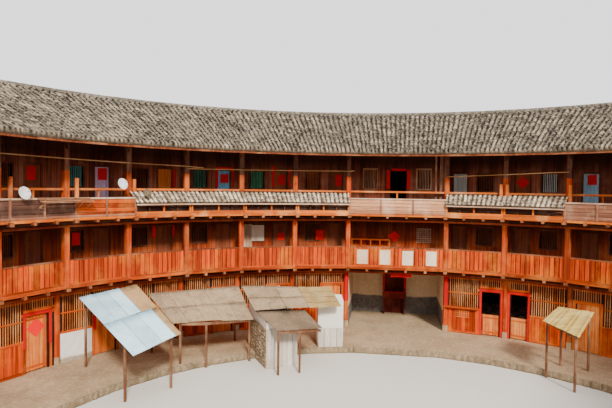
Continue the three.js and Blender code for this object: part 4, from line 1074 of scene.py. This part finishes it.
def hall_bay_front():
    """Over the hall: jambs that narrow the third floor's door, grey slat windows beside it, tall poles, and a
    shelf, a lattice and a pale door on the boarded second floor."""
    width = bay_width(0, ROOM_FRONT)
    heights = (THIRD_FLOOR + 0.02, 7.66)
    jambs = [patch(0, span, heights, ROOM_FRONT - 0.02, 0.03) for span in ((0.383, 0.437), (0.593, 0.617))]
    jambs.append(rail(0, (0.38, 0.62), 7.63, ROOM_FRONT - 0.035, 0.09, 0.05))
    slats = []
    for first, last, sill, head in wide_bay_holes(0):
        if sill > 0:
            slots = np.linspace(first, last, int((last - first) * width / 0.06))[1:-1]
            heights = (THIRD_FLOOR + sill, THIRD_FLOOR + head)
            slats.append(upright(0, slots, heights, ROOM_FRONT + 0.02, 0.035, 0.03))
            slats += frame_round(0, first, last, *heights, True)
    put("hall_bay_jambs", jambs, BROWN)
    put("hall_bay_slat_windows", slats, GREY_WOOD)
    spots, widths = np.array([0.885, 0.94, 0.982]), np.array([0.1, 0.17, 0.15])
    poles = upright(0, spots, (THIRD_FLOOR, 8.3), 13.1, widths, 0.12, squareness=0.8)
    put("hall_bay_poles", poles, BROWN_GREY_WOOD)
    heights, radius = (4.22, 4.86), ROOM_FRONT - 0.045
    lattice = [upright(0, np.linspace(0.705, 0.835, 9), heights, radius, 0.025, 0.02)]
    lattice += [rail(0, (0.70, 0.84), level, radius, 0.025, 0.022) for level in np.linspace(*heights, 8)]
    shelf_span = (0.06, 0.435)
    shelf = [rail(0, shelf_span, level, ROOM_FRONT - 0.2, 0.05, 0.34) for level in (4.0, 4.32)]
    legs = np.linspace(*shelf_span, 5)
    shelf.append(upright(0, legs, (SECOND_FLOOR, 4.35), ROOM_FRONT - 0.34, 0.06, 0.05))
    put("hall_bay_lattice", lattice, PALE_GREY)
    put("hall_bay_shelf", shelf, DEEP_ORANGE)
    heights = (SECOND_FLOOR + 0.02, 5.0)
    pale = boards(-2, (0.68, 0.89), heights, ROOM_FRONT - 0.02, thickness=0.03, width=0.15)
    put("pale_plank_door", pale, PALE_GREY)
    mended = patch(-2, (0.47, 0.69), (4.22, 4.96), ROOM_FRONT - 0.06, curl=0.01)
    put("window_boards_pale", mended, PALE_PAPER)


# Ground floor.

# Over the doors that open, the bars of a kitchen front begin at this height.
OVER_DOOR = 2.38
OPEN_BAYS = (1, 2, -6)


def kitchen_spans(bay):
    """Stretches of a kitchen front with the height at which the bars begin: over a door or over a dado."""
    edge = 0.12 / bay_width(bay, KITCHEN)
    last = KITCHEN_DOOR[1] + 0.045
    spans = {
        1: [(edge, 0.58, KITCHEN_SILL), (0.58, 1 - edge, OVER_DOOR)],
        2: [(edge, 0.40, OVER_DOOR), (0.40, 1 - edge, KITCHEN_SILL)],
        -6: [(edge, 0.51, OVER_DOOR), (0.51, 1 - edge, KITCHEN_SILL)],
    }
    return spans.get(bay, [(edge, last, DOOR_HEAD + 0.05), (last, 1 - edge, KITCHEN_SILL)])


def kitchen_bars():
    """Kitchen fronts: close upright bars under the ring beam, over the dadoes and over the doors, with rails,
    and a shelf and a lattice in the bay right of the hall."""
    slats, rails, dado = [], [], []
    radius = KITCHEN - 0.05
    for bay in SIDE_BAYS:
        width = bay_width(bay, KITCHEN)
        for first, last, sill in kitchen_spans(bay):
            span = (first, last)
            count = max(2, int((last - first) * width / 0.09))
            slots = np.linspace(first, last, count + 2)[1:-1]
            slats.append(upright(bay, slots, (sill, GROUND_BEAM - 0.02), radius, 0.028, 0.03))
            rails.append(rail(bay, span, sill + 0.02, radius, 0.08, 0.06))
            rails.append(rail(bay, span, GROUND_BEAM - 0.06, radius + 0.005, 0.07, 0.04))
            if sill != KITCHEN_SILL:
                continue
            rails.append(rail(bay, span, 2.08, radius - 0.012, 0.05, 0.03))
            rails.append(rail(bay, span, APRON_TOP + 0.06, radius, 0.11, 0.05))
            if bay != PLASTER_BAY:
                heights = (APRON_TOP + 0.01, KITCHEN_SILL - 0.01)
                dado.append(boards(bay, span, heights, KITCHEN - 0.033, thickness=0.024, width=0.2,
                                   gap=0.01, jitter=0.006))
    lattice, size, depth = KITCHEN - 0.066, 0.022, 0.02
    slats += [rail(1, (0.18, 0.40), level, lattice, size, depth) for level in np.linspace(0.99, 1.33, 5)]
    slats.append(upright(1, np.linspace(0.18, 0.40, 8), (0.98, 1.34), lattice, size, depth))
    rails.append(rail(1, (0.02, 0.57), 1.43, KITCHEN - 0.14, 0.05, 0.22))
    put("kitchen_window_bars", slats, SLAT)
    put("kitchen_rails", rails, DEEP_ORANGE)
    put("kitchen_dadoes", dado, ORANGE)


def kitchen_doors(margin=0.03):
    """Closed plank doors of the kitchens that no joint moves, each with a frame, and boards round the three
    doorways that have a leaf on a hinge."""
    leaves, frames = [], []
    first, last = KITCHEN_DOOR
    span, radius = (first - margin, last + margin), KITCHEN - 0.055
    heights = (APRON_TOP + 0.03, DOOR_HEAD - 0.02)
    for bay in SIDE_BAYS:
        if bay in OPEN_BAYS:
            continue
        leaves.append(boards(bay, KITCHEN_DOOR, heights, KITCHEN + 0.01, thickness=0.03, width=0.17,
                             gap=0.008, jitter=0.004))
        frames.append(upright(bay, np.array(span), (APRON_TOP, DOOR_HEAD + 0.05), radius, 0.1, 0.05))
        frames.append(rail(bay, span, DOOR_HEAD + 0.04, radius, 0.1, 0.05))
    radius, depth = KITCHEN - 0.038, 0.012
    for bay, near, far, away in ((-6, 0.1, 0.49, 0.06), (1, 0.595, 0.945, 0.05), (2, 0.055, 0.38, 0.04)):
        frames.append(upright(bay, np.array([near, far]), (APRON_TOP, GROUND_BEAM), radius, 0.1, depth))
        frames.append(rail(bay, (near - away, far + away), DOOR_HEAD + 0.06, radius, 0.12, depth))
    put("kitchen_doors", leaves, DOOR_WOOD)
    put("kitchen_door_frames", frames, DEEP_ORANGE)


def red_frames():
    """Red boards beside and over the doors that open, and red bands on the columns beside the hall."""
    radius, width, depth = KITCHEN - 0.045, 0.1, 0.026
    parts = []
    for bay, first, last in ((1, 0.62, 0.92), (2, 0.08, 0.36)):
        jambs = np.array([first - 0.023, last + 0.021])
        parts.append(upright(bay, jambs, (APRON_TOP + 0.01, 2.34), radius, width, depth))
        parts.append(rail(bay, (first - 0.04, last + 0.04), 2.28, radius - 0.003, 0.13, 0.03))
    parts.append(upright(-6, np.array([0.108, 0.49]), (1.13, 2.31), radius, width, depth))
    parts.append(rail(-6, (0.09, 0.51), 2.3, radius - 0.003, 0.17, 0.03))
    parts.append(patch(-5, (0.425, 0.475), (1.24, 1.80), KITCHEN - 0.085))
    angle = column_angle(np.array([-1, 0]))
    foot, head = polar(KITCHEN, angle, 1.45), polar(KITCHEN, angle, 2.77)
    parts.append(bars(foot, head, tangent(angle), 0.245, 0.245, squareness=0.85))
    parts.append(patch(0, (0.45, 0.66), (2.66, 2.84), KITCHEN - 0.15, 0.006, 0.01))
    put("red_boards", parts, RED)


def moving_doors():
    """Planks and ledges on the courtyard face of each door that opens. They ride on its leaf."""
    face, foot = KITCHEN + 0.035, 0.3
    lots = (
        ("left_leaf", -6, (0.155, 0.455), 2.2), ("right_near_leaf", 1, (0.64, 0.905), 1.18),
        ("right_far_leaf", 2, (0.095, 0.345), 1.18),
    )
    for body, bay, (first, last), top in lots:
        inset = 0.03 / bay_width(bay, KITCHEN)
        planks = boards(bay, (first, last), (foot, top), face, thickness=0.008, width=0.13, gap=0.008,
                        jitter=0.001)
        ledge = (first + inset, last - inset)
        ledges = [rail(bay, ledge, level, face - 0.014, 0.07, 0.01) for level in (0.42, top - 0.12)]
        put(f"{body}_planks", planks, DOOR_WOOD, body)
        put(f"{body}_ledges", ledges, DEEP_ORANGE, body)
    ornament = diamond(-6, 0.31, 1.77, 0.34, face - 0.011)
    put("left_leaf_paper", ornament, PAPER, "left_leaf")


def hall_inside():
    """Boards on the altar: a dark red front under the table top, and the niche's red frame."""
    front, back = HALL_BACK - 0.44, HALL_BACK - 0.23
    half, depth = 0.6, 0.03
    parts = []
    for reach, level, height in ((back, 2.39, 0.09), (front, 1.41, 0.04)):
        parts.append(bars((-half, reach, level), (half, reach, level), UP, height, depth))
    for x in (-0.54, 0.54):
        parts.append(bars((x, back, 1.46), (x, back, 2.42), (1.0, 0.0, 0.0), 0.12, depth))
    apron_board = bars((-half, front, 1.24), (half, front, 1.24), UP, 0.3, depth)
    put("altar_front_board", apron_board, RUST_RED)
    put("altar_red_boards", parts, RED)


def plaster_dado():
    """The plastered dado beside the left door, its face swollen and dented by slow waves."""
    across, up = np.meshgrid(np.linspace(0.49, 0.96, 40), np.linspace(APRON_TOP, KITCHEN_SILL - 0.02, 16))
    dent = 0.006 * np.sin(across * 31 + up * 3) * np.sin(up * 7 + across * 11)
    radius, thickness = KITCHEN - 0.03, 0.05
    front = place(PLASTER_BAY, across, radius - thickness + dent, up)
    back = place(PLASTER_BAY, across, radius, up)
    put("plaster_dado", closed_sheet(front, back), PLASTER)


# Where the papers hang: bay, first and last fraction of it, foot and head, and polygon radius.
ON_DOOR = ROOM_FRONT - 0.003
ON_WALL = ROOM_FRONT - 0.026
ON_JAMB = ROOM_FRONT - 0.04
ON_FRAME = ROOM_FRONT - 0.06
PAPERS = (
    (-6, 0.15, 0.28, 6.89, 7.38, ON_DOOR), (-5, 0.11, 0.25, 6.94, 7.41, ON_DOOR),
    (-4, 0.01, 0.05, 6.69, 7.43, ON_JAMB), (-3, 0.285, 0.325, 6.71, 7.59, ON_JAMB),
    (-3, 0.005, 0.035, 6.71, 7.59, ON_JAMB), (-3, 0.10, 0.24, 6.90, 7.30, ON_DOOR),
    (-2, 0.29, 0.335, 6.74, 7.73, ON_JAMB), (-2, 0.005, 0.035, 6.75, 7.65, ON_JAMB),
    (-2, 0.10, 0.22, 6.84, 7.31, ON_DOOR), (-1, 0.08, 0.19, 6.83, 7.36, ON_DOOR),
    (3, 0.14, 0.27, 7.00, 7.41, ON_DOOR), (0, 0.40, 0.433, 6.72, 7.62, ON_FRAME),
    (0, 0.597, 0.63, 6.72, 7.62, ON_FRAME), (-5, 0.53, 0.65, 4.42, 4.91, ON_WALL),
    (-2, 0.10, 0.22, 4.23, 4.57, ON_DOOR), (-1, 0.40, 0.54, 4.25, 4.71, ON_FRAME),
    (-4, 0.345, 0.40, 4.52, 5.03, ON_JAMB), (-4, 0.02, 0.06, 4.52, 5.03, ON_WALL),
)


def papers():
    """Plain papers pasted on doors, walls and jambs of the upper floors: thin, curled at the sides."""
    parts = []
    for bay, first, last, low, high, radius in PAPERS:
        parts.append(patch(bay, (first, last), (low, high), radius, curl=0.006))
    parts.append(rail(-3, (0.02, 0.31), 7.57, ON_FRAME, 0.09, 0.02))
    parts.append(rail(0, (0.45, 0.585), 7.63, ON_FRAME - 0.01, 0.12, 0.02))
    parts.append(diamond(2, 0.19, 7.08, 0.28, ON_DOOR))
    parts.append(diamond(0, 0.485, 4.47, 0.28, ON_WALL))
    put("red_papers", parts, PAPER)


# First and last bay of each pole, the fraction of the last bay where it ends, and the levels of its ends.
POLES = ((-6, -3, 0.72, 7.70, 7.51), (-3, 0, 0.055, 7.46, 7.52), (1, 2, 1.0, 7.29, 7.50))


def gallery_poles(size=0.045):
    """Bamboo poles hung along the third-floor gallery, tapering, in front of the columns."""
    parts, radius = [], GALLERY - 0.135
    for first_bay, last_bay, stop, first_level, last_level in POLES:
        bays = range(first_bay, last_bay + 1)
        levels = np.linspace(first_level, last_level, len(bays) + 1)
        for bay, left_level, right_level in zip(bays, levels[:-1], levels[1:]):
            left_end = place(bay, float(bay < 0), radius, left_level)
            right_end = place(bay, stop if bay == last_bay else float(bay >= 0), radius, right_level)
            ends = (right_end, left_end) if bay < 0 else (left_end, right_end)
            parts.append(bars(*ends, UP, size, size, squareness=0.95, taper=0.8))
    put("bamboo_poles", parts, BAMBOO)


def dish(name, bay, fraction, level, size, material):
    """A round dish on a bent arm on the parapet: height = depth r^2, and its back is closed."""
    rings, corners, thickness, round_bar = 7, 24, 0.012, 0.95
    centre = place(bay, fraction, PARAPET - 0.12, level)
    facing = unit(-outward_of(bay) + np.array([0.35, 0.0, 0.45]))
    side = unit(np.cross(facing, UP))
    up = np.cross(side, facing)
    reach = np.concatenate([np.linspace(0.02, 1, rings), np.linspace(1, 0.02, rings)])
    depth = 0.16 * size * reach ** 2 - np.repeat([0.0, thickness], rings)
    turn = np.arange(corners) / corners * 2 * math.pi
    spoke = np.cos(turn)[:, None] * side + np.sin(turn)[:, None] * up
    points = centre + depth[:, None, None] * facing + (reach * size / 2)[:, None, None] * spoke
    bowl = surface(points, grid_quads(2 * rings, corners, True, True), np.full(2 * rings * corners, 0.6))
    foot = place(bay, fraction, PARAPET + 0.02, level - size * 0.45)
    arm = bars(foot, centre - facing * 0.02, side, 0.03, 0.03, round_bar)
    horn_foot = centre + facing * 0.02 - up * size * 0.42
    horn = bars(horn_foot, centre + facing * size * 0.55, side, 0.018, 0.018, round_bar)
    tip = bars(centre + facing * size * 0.5, centre + facing * size * 0.66, side, 0.05, 0.05, round_bar)
    put(name, [bowl, arm, horn, tip], material, smooth=True)


def dishes():
    """Three small dishes on the left parapet."""
    dish("dish_far", -6, 0.83, 6.45, 0.42, DISH)
    dish("dish_middle", -5, 0.26, 6.78, 0.42, DISH)
    dish("dish_near", -4, 0.82, 6.45, 0.34, BROWN_SHEET)


# Courtyard lean-tos.

# Corners of each in plan, in millimetres, low edge first, then the levels of its low and its high edge.
BLUE_CANOPY = ([(-7890, 3180), (-7160, 5150), (-10080, 7760), (-11180, 5620)], 1.65, 2.75)
GREY_ROOF = ([(-8000, 6420), (-5420, 8120), (-6640, 10090), (-9550, 7620)], 1.65, 2.50)
SHED_ROOF = ([(-5310, 7800), (-2150, 9300), (-2780, 10820), (-6340, 9560)], 1.99, 2.53)
LOW_ROOF = ([(-4240, 6770), (-2710, 7610), (-3650, 8986), (-5385, 8050)], 1.54, 1.90)
MAT_AWNING = ([(5940, 7000), (5180, 8400), (6010, 9430), (7010, 8720)], 1.95, 2.35)
# Laid sheets: lines of points down each, thickness, seat over the frame, rise to the lip, rise to the side
# that laps the next, how far single sheets are off, how far they warp, and the tone of their laps.
SHEET_LINES = 6
SHEET_THICKNESS = 0.012
SHEET_SEAT = 0.036
LIP_RISE = 0.016
SIDE_RISE = 0.008
SHEET_SCATTER = 0.012
SHEET_WARP = 0.012
LAP_TONE = -0.1
# The mat: thickness, seat over its poles, sag, height of the weave, its ribs each way, and its ragged edge.
MAT_THICKNESS = 0.014
MAT_SEAT = 0.045
MAT_SAG = 0.01
WEAVE = 0.006
RIBS, CROSS_RIBS = 34, 20
FRINGE = 0.014


def lean_points(corners, low, high, across, down):
    """Points on a lean-to: across runs along its edges, down runs from the high edge to the low one."""
    corner = np.array(corners, float) / 1000
    across, down = across[..., None], down[..., None]
    foot = corner[0] * (1 - across) + corner[1] * across
    head = corner[3] * (1 - across) + corner[2] * across
    plan = head * (1 - down) + foot * down
    middle_foot = (corner[0] + corner[1]) / 2
    run = (corner[2] + corner[3]) / 2 - middle_foot
    share = ((plan - middle_foot) @ run) / (run @ run)
    return np.concatenate([plan, (low + (high - low) * share)[..., None]], -1)


def half_lean(lean, upper):
    """The upper or the lower half of a lean-to, cut level across its middle."""
    corners, low, high = lean
    corner = np.array(corners, float)
    right, left = (corner[1] + corner[2]) / 2, (corner[0] + corner[3]) / 2
    middle = (low + high) / 2
    if upper:
        return [left, right, corner[2], corner[3]], middle, high
    return [corner[0], corner[1], right, left], low, middle


def sheet_part(lean, waves, depth, rows, span=(0.0, 1.0), sheets=1, ragged=0.0, samples=6, seam_width=0.5):
    """Sheets laid on a stretch of a lean-to in overlapping rows. The height is depth cos(2 pi waves u) across
    them; each row rises towards its lower lip, which lies over the next, and each sheet's side laps the next.
    The low edge is ragged by up to the given share of the slope."""
    corners, low, high = lean
    count = max(waves * samples, 12 * sheets) + 1
    share = np.linspace(0, 1, count)
    across = span[0] + (span[1] - span[0]) * share
    sheet_of = np.minimum((share * sheets).astype(int), sheets - 1)
    on_sheet = share * sheets - sheet_of
    step = np.repeat(np.arange(rows), SHEET_LINES)
    part = np.tile(np.linspace(0, 0.995, SHEET_LINES), rows)
    edge = 1 - ragged * RNG.uniform(0, 1, sheets)[sheet_of]
    down = (step + part)[:, None] / rows * edge
    across = np.broadcast_to(across, down.shape)
    points = lean_points(corners, low, high, across, down)
    ripple = depth * np.cos(2 * math.pi * waves * share) + SIDE_RISE * on_sheet
    off = RNG.uniform(0, SHEET_SCATTER, (rows, sheets))[step][:, sheet_of]
    lift = SHEET_SEAT + depth + LIP_RISE * part[:, None] + off
    warp = SHEET_WARP * np.sin(across * 7.3 + step[:, None] * 1.7) * np.sin(down * 5.1 + 0.6)
    top = points + UP * (ripple + lift + warp)[..., None]
    tone = RNG.uniform(0.6, 1, (rows, sheets))[step][:, sheet_of]
    beside = np.minimum(on_sheet, 1 - on_sheet) < seam_width * sheets / count
    tone = np.where(beside | (part == 0)[:, None], LAP_TONE, tone)
    return flipped(closed_sheet(top, top - UP * SHEET_THICKNESS, tone))


def lean_sheet(name, lean, waves, depth, rows, material, slot, **shape):
    """One named piece of laid sheets."""
    return put(name, sheet_part(lean, waves, depth, rows, **shape), material)


def woven_mat():
    """A straw mat laid on its poles: its weave is cos(2 pi 34 u) cos(2 pi 20 v), its sag sin(pi u) sin(pi v),
    and its edge is ragged all round."""
    corners, low, high = MAT_AWNING
    u, v = np.meshgrid(np.linspace(0, 1, 103), np.linspace(0, 1, 61))
    fringe = RNG.uniform(-FRINGE, FRINGE, u.shape)
    rim = (u == 0) | (u == 1) | (v == 0) | (v == 1)
    points = lean_points(corners, low, high, u + fringe * rim, v + fringe[::-1, ::-1] * rim)
    sag = MAT_SAG * np.sin(math.pi * u) * np.sin(math.pi * v)
    weave = WEAVE * np.cos(2 * math.pi * RIBS * u) * np.cos(2 * math.pi * CROSS_RIBS * v)
    top = points + UP * (MAT_SEAT - sag + weave)[..., None]
    tone = RNG.uniform(0, 1, (1, 18))[:, (u * 17).astype(int)[0]]
    made = put("woven_mat", flipped(closed_sheet(top, top - UP * MAT_THICKNESS, tone)), STRAW)
    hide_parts("mat_awning")
    return made


def stones(u, w, length, height, pitch=(0.19, 0.125), jitter=0.06):
    """How far each point of a wall stands out on its stone, and the stone's tone. Stones lie about seeds on
    a jittered grid: with d1 and d2 the distances to the nearest two seeds, the swell is
    min(1, 9 (d2 - d1))^0.6."""
    columns_at, rows_at = np.arange(0.0, length + 0.2, pitch[0]), np.arange(0.0, height + 0.1, pitch[1])
    seeds = np.stack(np.meshgrid(columns_at, rows_at), -1).reshape(-1, 2)
    seeds = seeds + RNG.uniform(-jitter, jitter, seeds.shape)
    away = np.hypot((u[..., None] - seeds[:, 0]) * 0.75, w[..., None] - seeds[:, 1])
    order = np.argsort(away, axis=-1)[..., :2]
    near = np.take_along_axis(away, order, -1)
    swell = np.minimum(1, 9 * (near[..., 1] - near[..., 0])) ** 0.6
    return swell, RNG.uniform(0.35, 1, len(seeds))[order[..., 0]]


def shed_fronts(number=6, top=1.5):
    """Grey boards on the shed's courtyard side, stones in its left wall, and boards at the screen's foot."""
    left, corner, right = np.array([-5.95, 9.40]), np.array([-4.74, 7.36]), np.array([-3.72, 8.12])
    run, length = unit(right - corner), np.linalg.norm(right - corner)
    out = np.array([run[1], -run[0]])
    spots = (np.arange(number) + 0.5) / number * length
    foot = corner + run * spots[:, None] + out * 0.012
    low, head = (np.column_stack([foot, np.full(number, level)]) for level in (0.01, top))
    planks = bars(low, head, np.array([*run, 0.0]), length / number - 0.008, 0.02)
    put("shed_front_boards", planks, SHED_BOARD)
    side, reach = unit(left - corner), np.linalg.norm(left - corner)
    away = np.array([-side[1], side[0]])
    u, w = np.meshgrid(np.linspace(0.0, reach, 160), np.linspace(0.02, top, 100))
    bump, own = stones(u, w, reach, top)
    plan, level = corner + side * u[..., None], w[..., None]
    front = np.concatenate([plan + away * (0.008 + 0.03 * bump)[..., None], level], -1)
    back = np.concatenate([plan + away * 0.002, level], -1)
    put("shed_rubble", closed_sheet(front, back, own * bump, front), RUBBLE, smooth=True)
    heights = (APRON_TOP + 0.003, 1.02)
    lower = boards(-1, (0.22, 0.73), heights, APRON_EDGE + 0.04, thickness=0.03, width=0.28, gap=0.012,
                   jitter=0.02)
    put("screen_foot_boards", lower, SHED_BOARD)


def lean_tos():
    """The five sheet-covered lean-tos of the courtyard."""
    lower, upper = half_lean(BLUE_CANOPY, False), half_lean(BLUE_CANOPY, True)
    laid = [
        sheet_part(lower, 30, 0.014, 1, span=(0.0, 0.88), sheets=3, seam_width=1.4),
        sheet_part(upper, 24, 0.014, 1, span=(0.0, 0.68), sheets=3, seam_width=1.4),
    ]
    blue = put("blue_canopy_sheets", laid, BLUE_SHEET)
    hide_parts("blue_canopy")
    strips = [
        sheet_part(lower, 5, 0.01, 1, span=(0.885, 1.0)),
        sheet_part(upper, 11, 0.01, 1, span=(0.685, 1.0)),
    ]
    put("canopy_side_strip", strips, TAN_SHEET)
    grey = lean_sheet("grey_roof_sheets", GREY_ROOF, 40, 0.009, 2, GREY_SHEET, "grey_sheet", sheets=5,
                      ragged=0.03, samples=4)
    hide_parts("grey_roof")
    first = lean_sheet("shed_roof_left", SHED_ROOF, 14, 0.006, 2, GREY_SHEET, "grey_sheet", span=(0.0, 0.36),
                       ragged=0.04)
    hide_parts("shed_roof")
    lean_sheet("shed_roof_middle", SHED_ROOF, 12, 0.006, 2, GREY_SHEET, "grey_sheet", span=(0.365, 0.62),
               ragged=0.03)
    lean_sheet("shed_roof_right", SHED_ROOF, 40, 0.004, 4, THATCH, "woven_mat", span=(0.625, 1.0), sheets=4,
               ragged=0.05, samples=3)
    low = lean_sheet("low_roof_sheets", LOW_ROOF, 20, 0.018, 1, BROWN_SHEET, "grey_sheet", sheets=2)
    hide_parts("low_roof")
    mat = woven_mat()


# Light and camera.

FLOOR_REACH = 60.0
PHOTO_WIDTH = 612
FOCAL_LENGTH = 531.8
SENSOR_WIDTH = 36.0
EYE = (-0.40, -11.66, 6.79)
TURN_LEFT, LOOK_DOWN, ROLL = 0.153, 0.0331, 0.013


def added(name, data):
    """A new object of the scene."""
    made = bpy.data.objects.new(name, data)
    bpy.context.scene.collection.objects.link(made)
    return made


def stage_and_light():
    """A pale floor, soft light from all round and a broad lamp from above."""
    mesh = bpy.data.meshes.new("floor")
    corners = [(x * FLOOR_REACH, y * FLOOR_REACH, 0) for x, y in ((-1, -1), (1, -1), (1, 1), (-1, 1))]
    mesh.from_pydata(corners, [], [(0, 1, 2, 3)])
    floor = added("floor", mesh)
    floor_paint = bpy.data.materials.new("floor paint")
    floor_paint.use_nodes = True
    shader = floor_paint.node_tree.nodes["Principled BSDF"]
    shader.inputs["Base Color"].default_value = rgb((214, 208, 198))
    shader.inputs["Roughness"].default_value = 0.9
    mesh.materials.append(floor_paint)
    world = bpy.data.worlds.new("soft sky")
    world.use_nodes = True
    background = world.node_tree.nodes["Background"]
    background.inputs["Color"].default_value = rgb((242, 242, 244))
    background.inputs["Strength"].default_value = 2.1
    bpy.context.scene.world = world
    lamp = bpy.data.lights.new("high lamp", "SUN")
    lamp.energy = 5.2
    lamp.angle = math.radians(9)
    lamp.color = (1.0, 0.95, 0.86)
    added("high lamp", lamp).rotation_euler = (math.radians(55), 0, math.radians(24))


def photo_camera():
    """The camera at the photograph's place: 31.3 mm on a 36 mm sensor, 8.8 degrees left of +Y, and rolled."""
    data = bpy.data.cameras.new("camera")
    data.sensor_width = SENSOR_WIDTH
    data.lens = FOCAL_LENGTH / PHOTO_WIDTH * SENSOR_WIDTH
    data.clip_start = 0.05
    data.clip_end = 300
    holder = added("camera", data)
    turn = Matrix.Rotation(TURN_LEFT, 4, "Z")
    tilt = Matrix.Rotation(math.pi / 2 - LOOK_DOWN, 4, "X")
    roll = Matrix.Rotation(ROLL, 4, "Z")
    holder.matrix_world = Matrix.Translation(EYE) @ turn @ tilt @ roll
    bpy.context.scene.camera = holder


dress_frame()
roof_tiles()
rafters()
wall_windows()
edge_stones()
for run_name, run_bays in PENT_RUNS.items():
    pent_tiles(f"skirt_tiles_{run_name}", run_bays)
balustrade()
hall_panels()
deck_edges()
joists()
parapets()
parapet_flap()
pent_undersides()
room_planks()
upper_doors()
hall_bay_front()
inner_rails()
columns()
kitchen_bars()
kitchen_doors()
red_frames()
moving_doors()
hall_inside()
plaster_dado()
papers()
gallery_poles()
dishes()
shed_fronts()
lean_tos()
stage_and_light()
photo_camera()
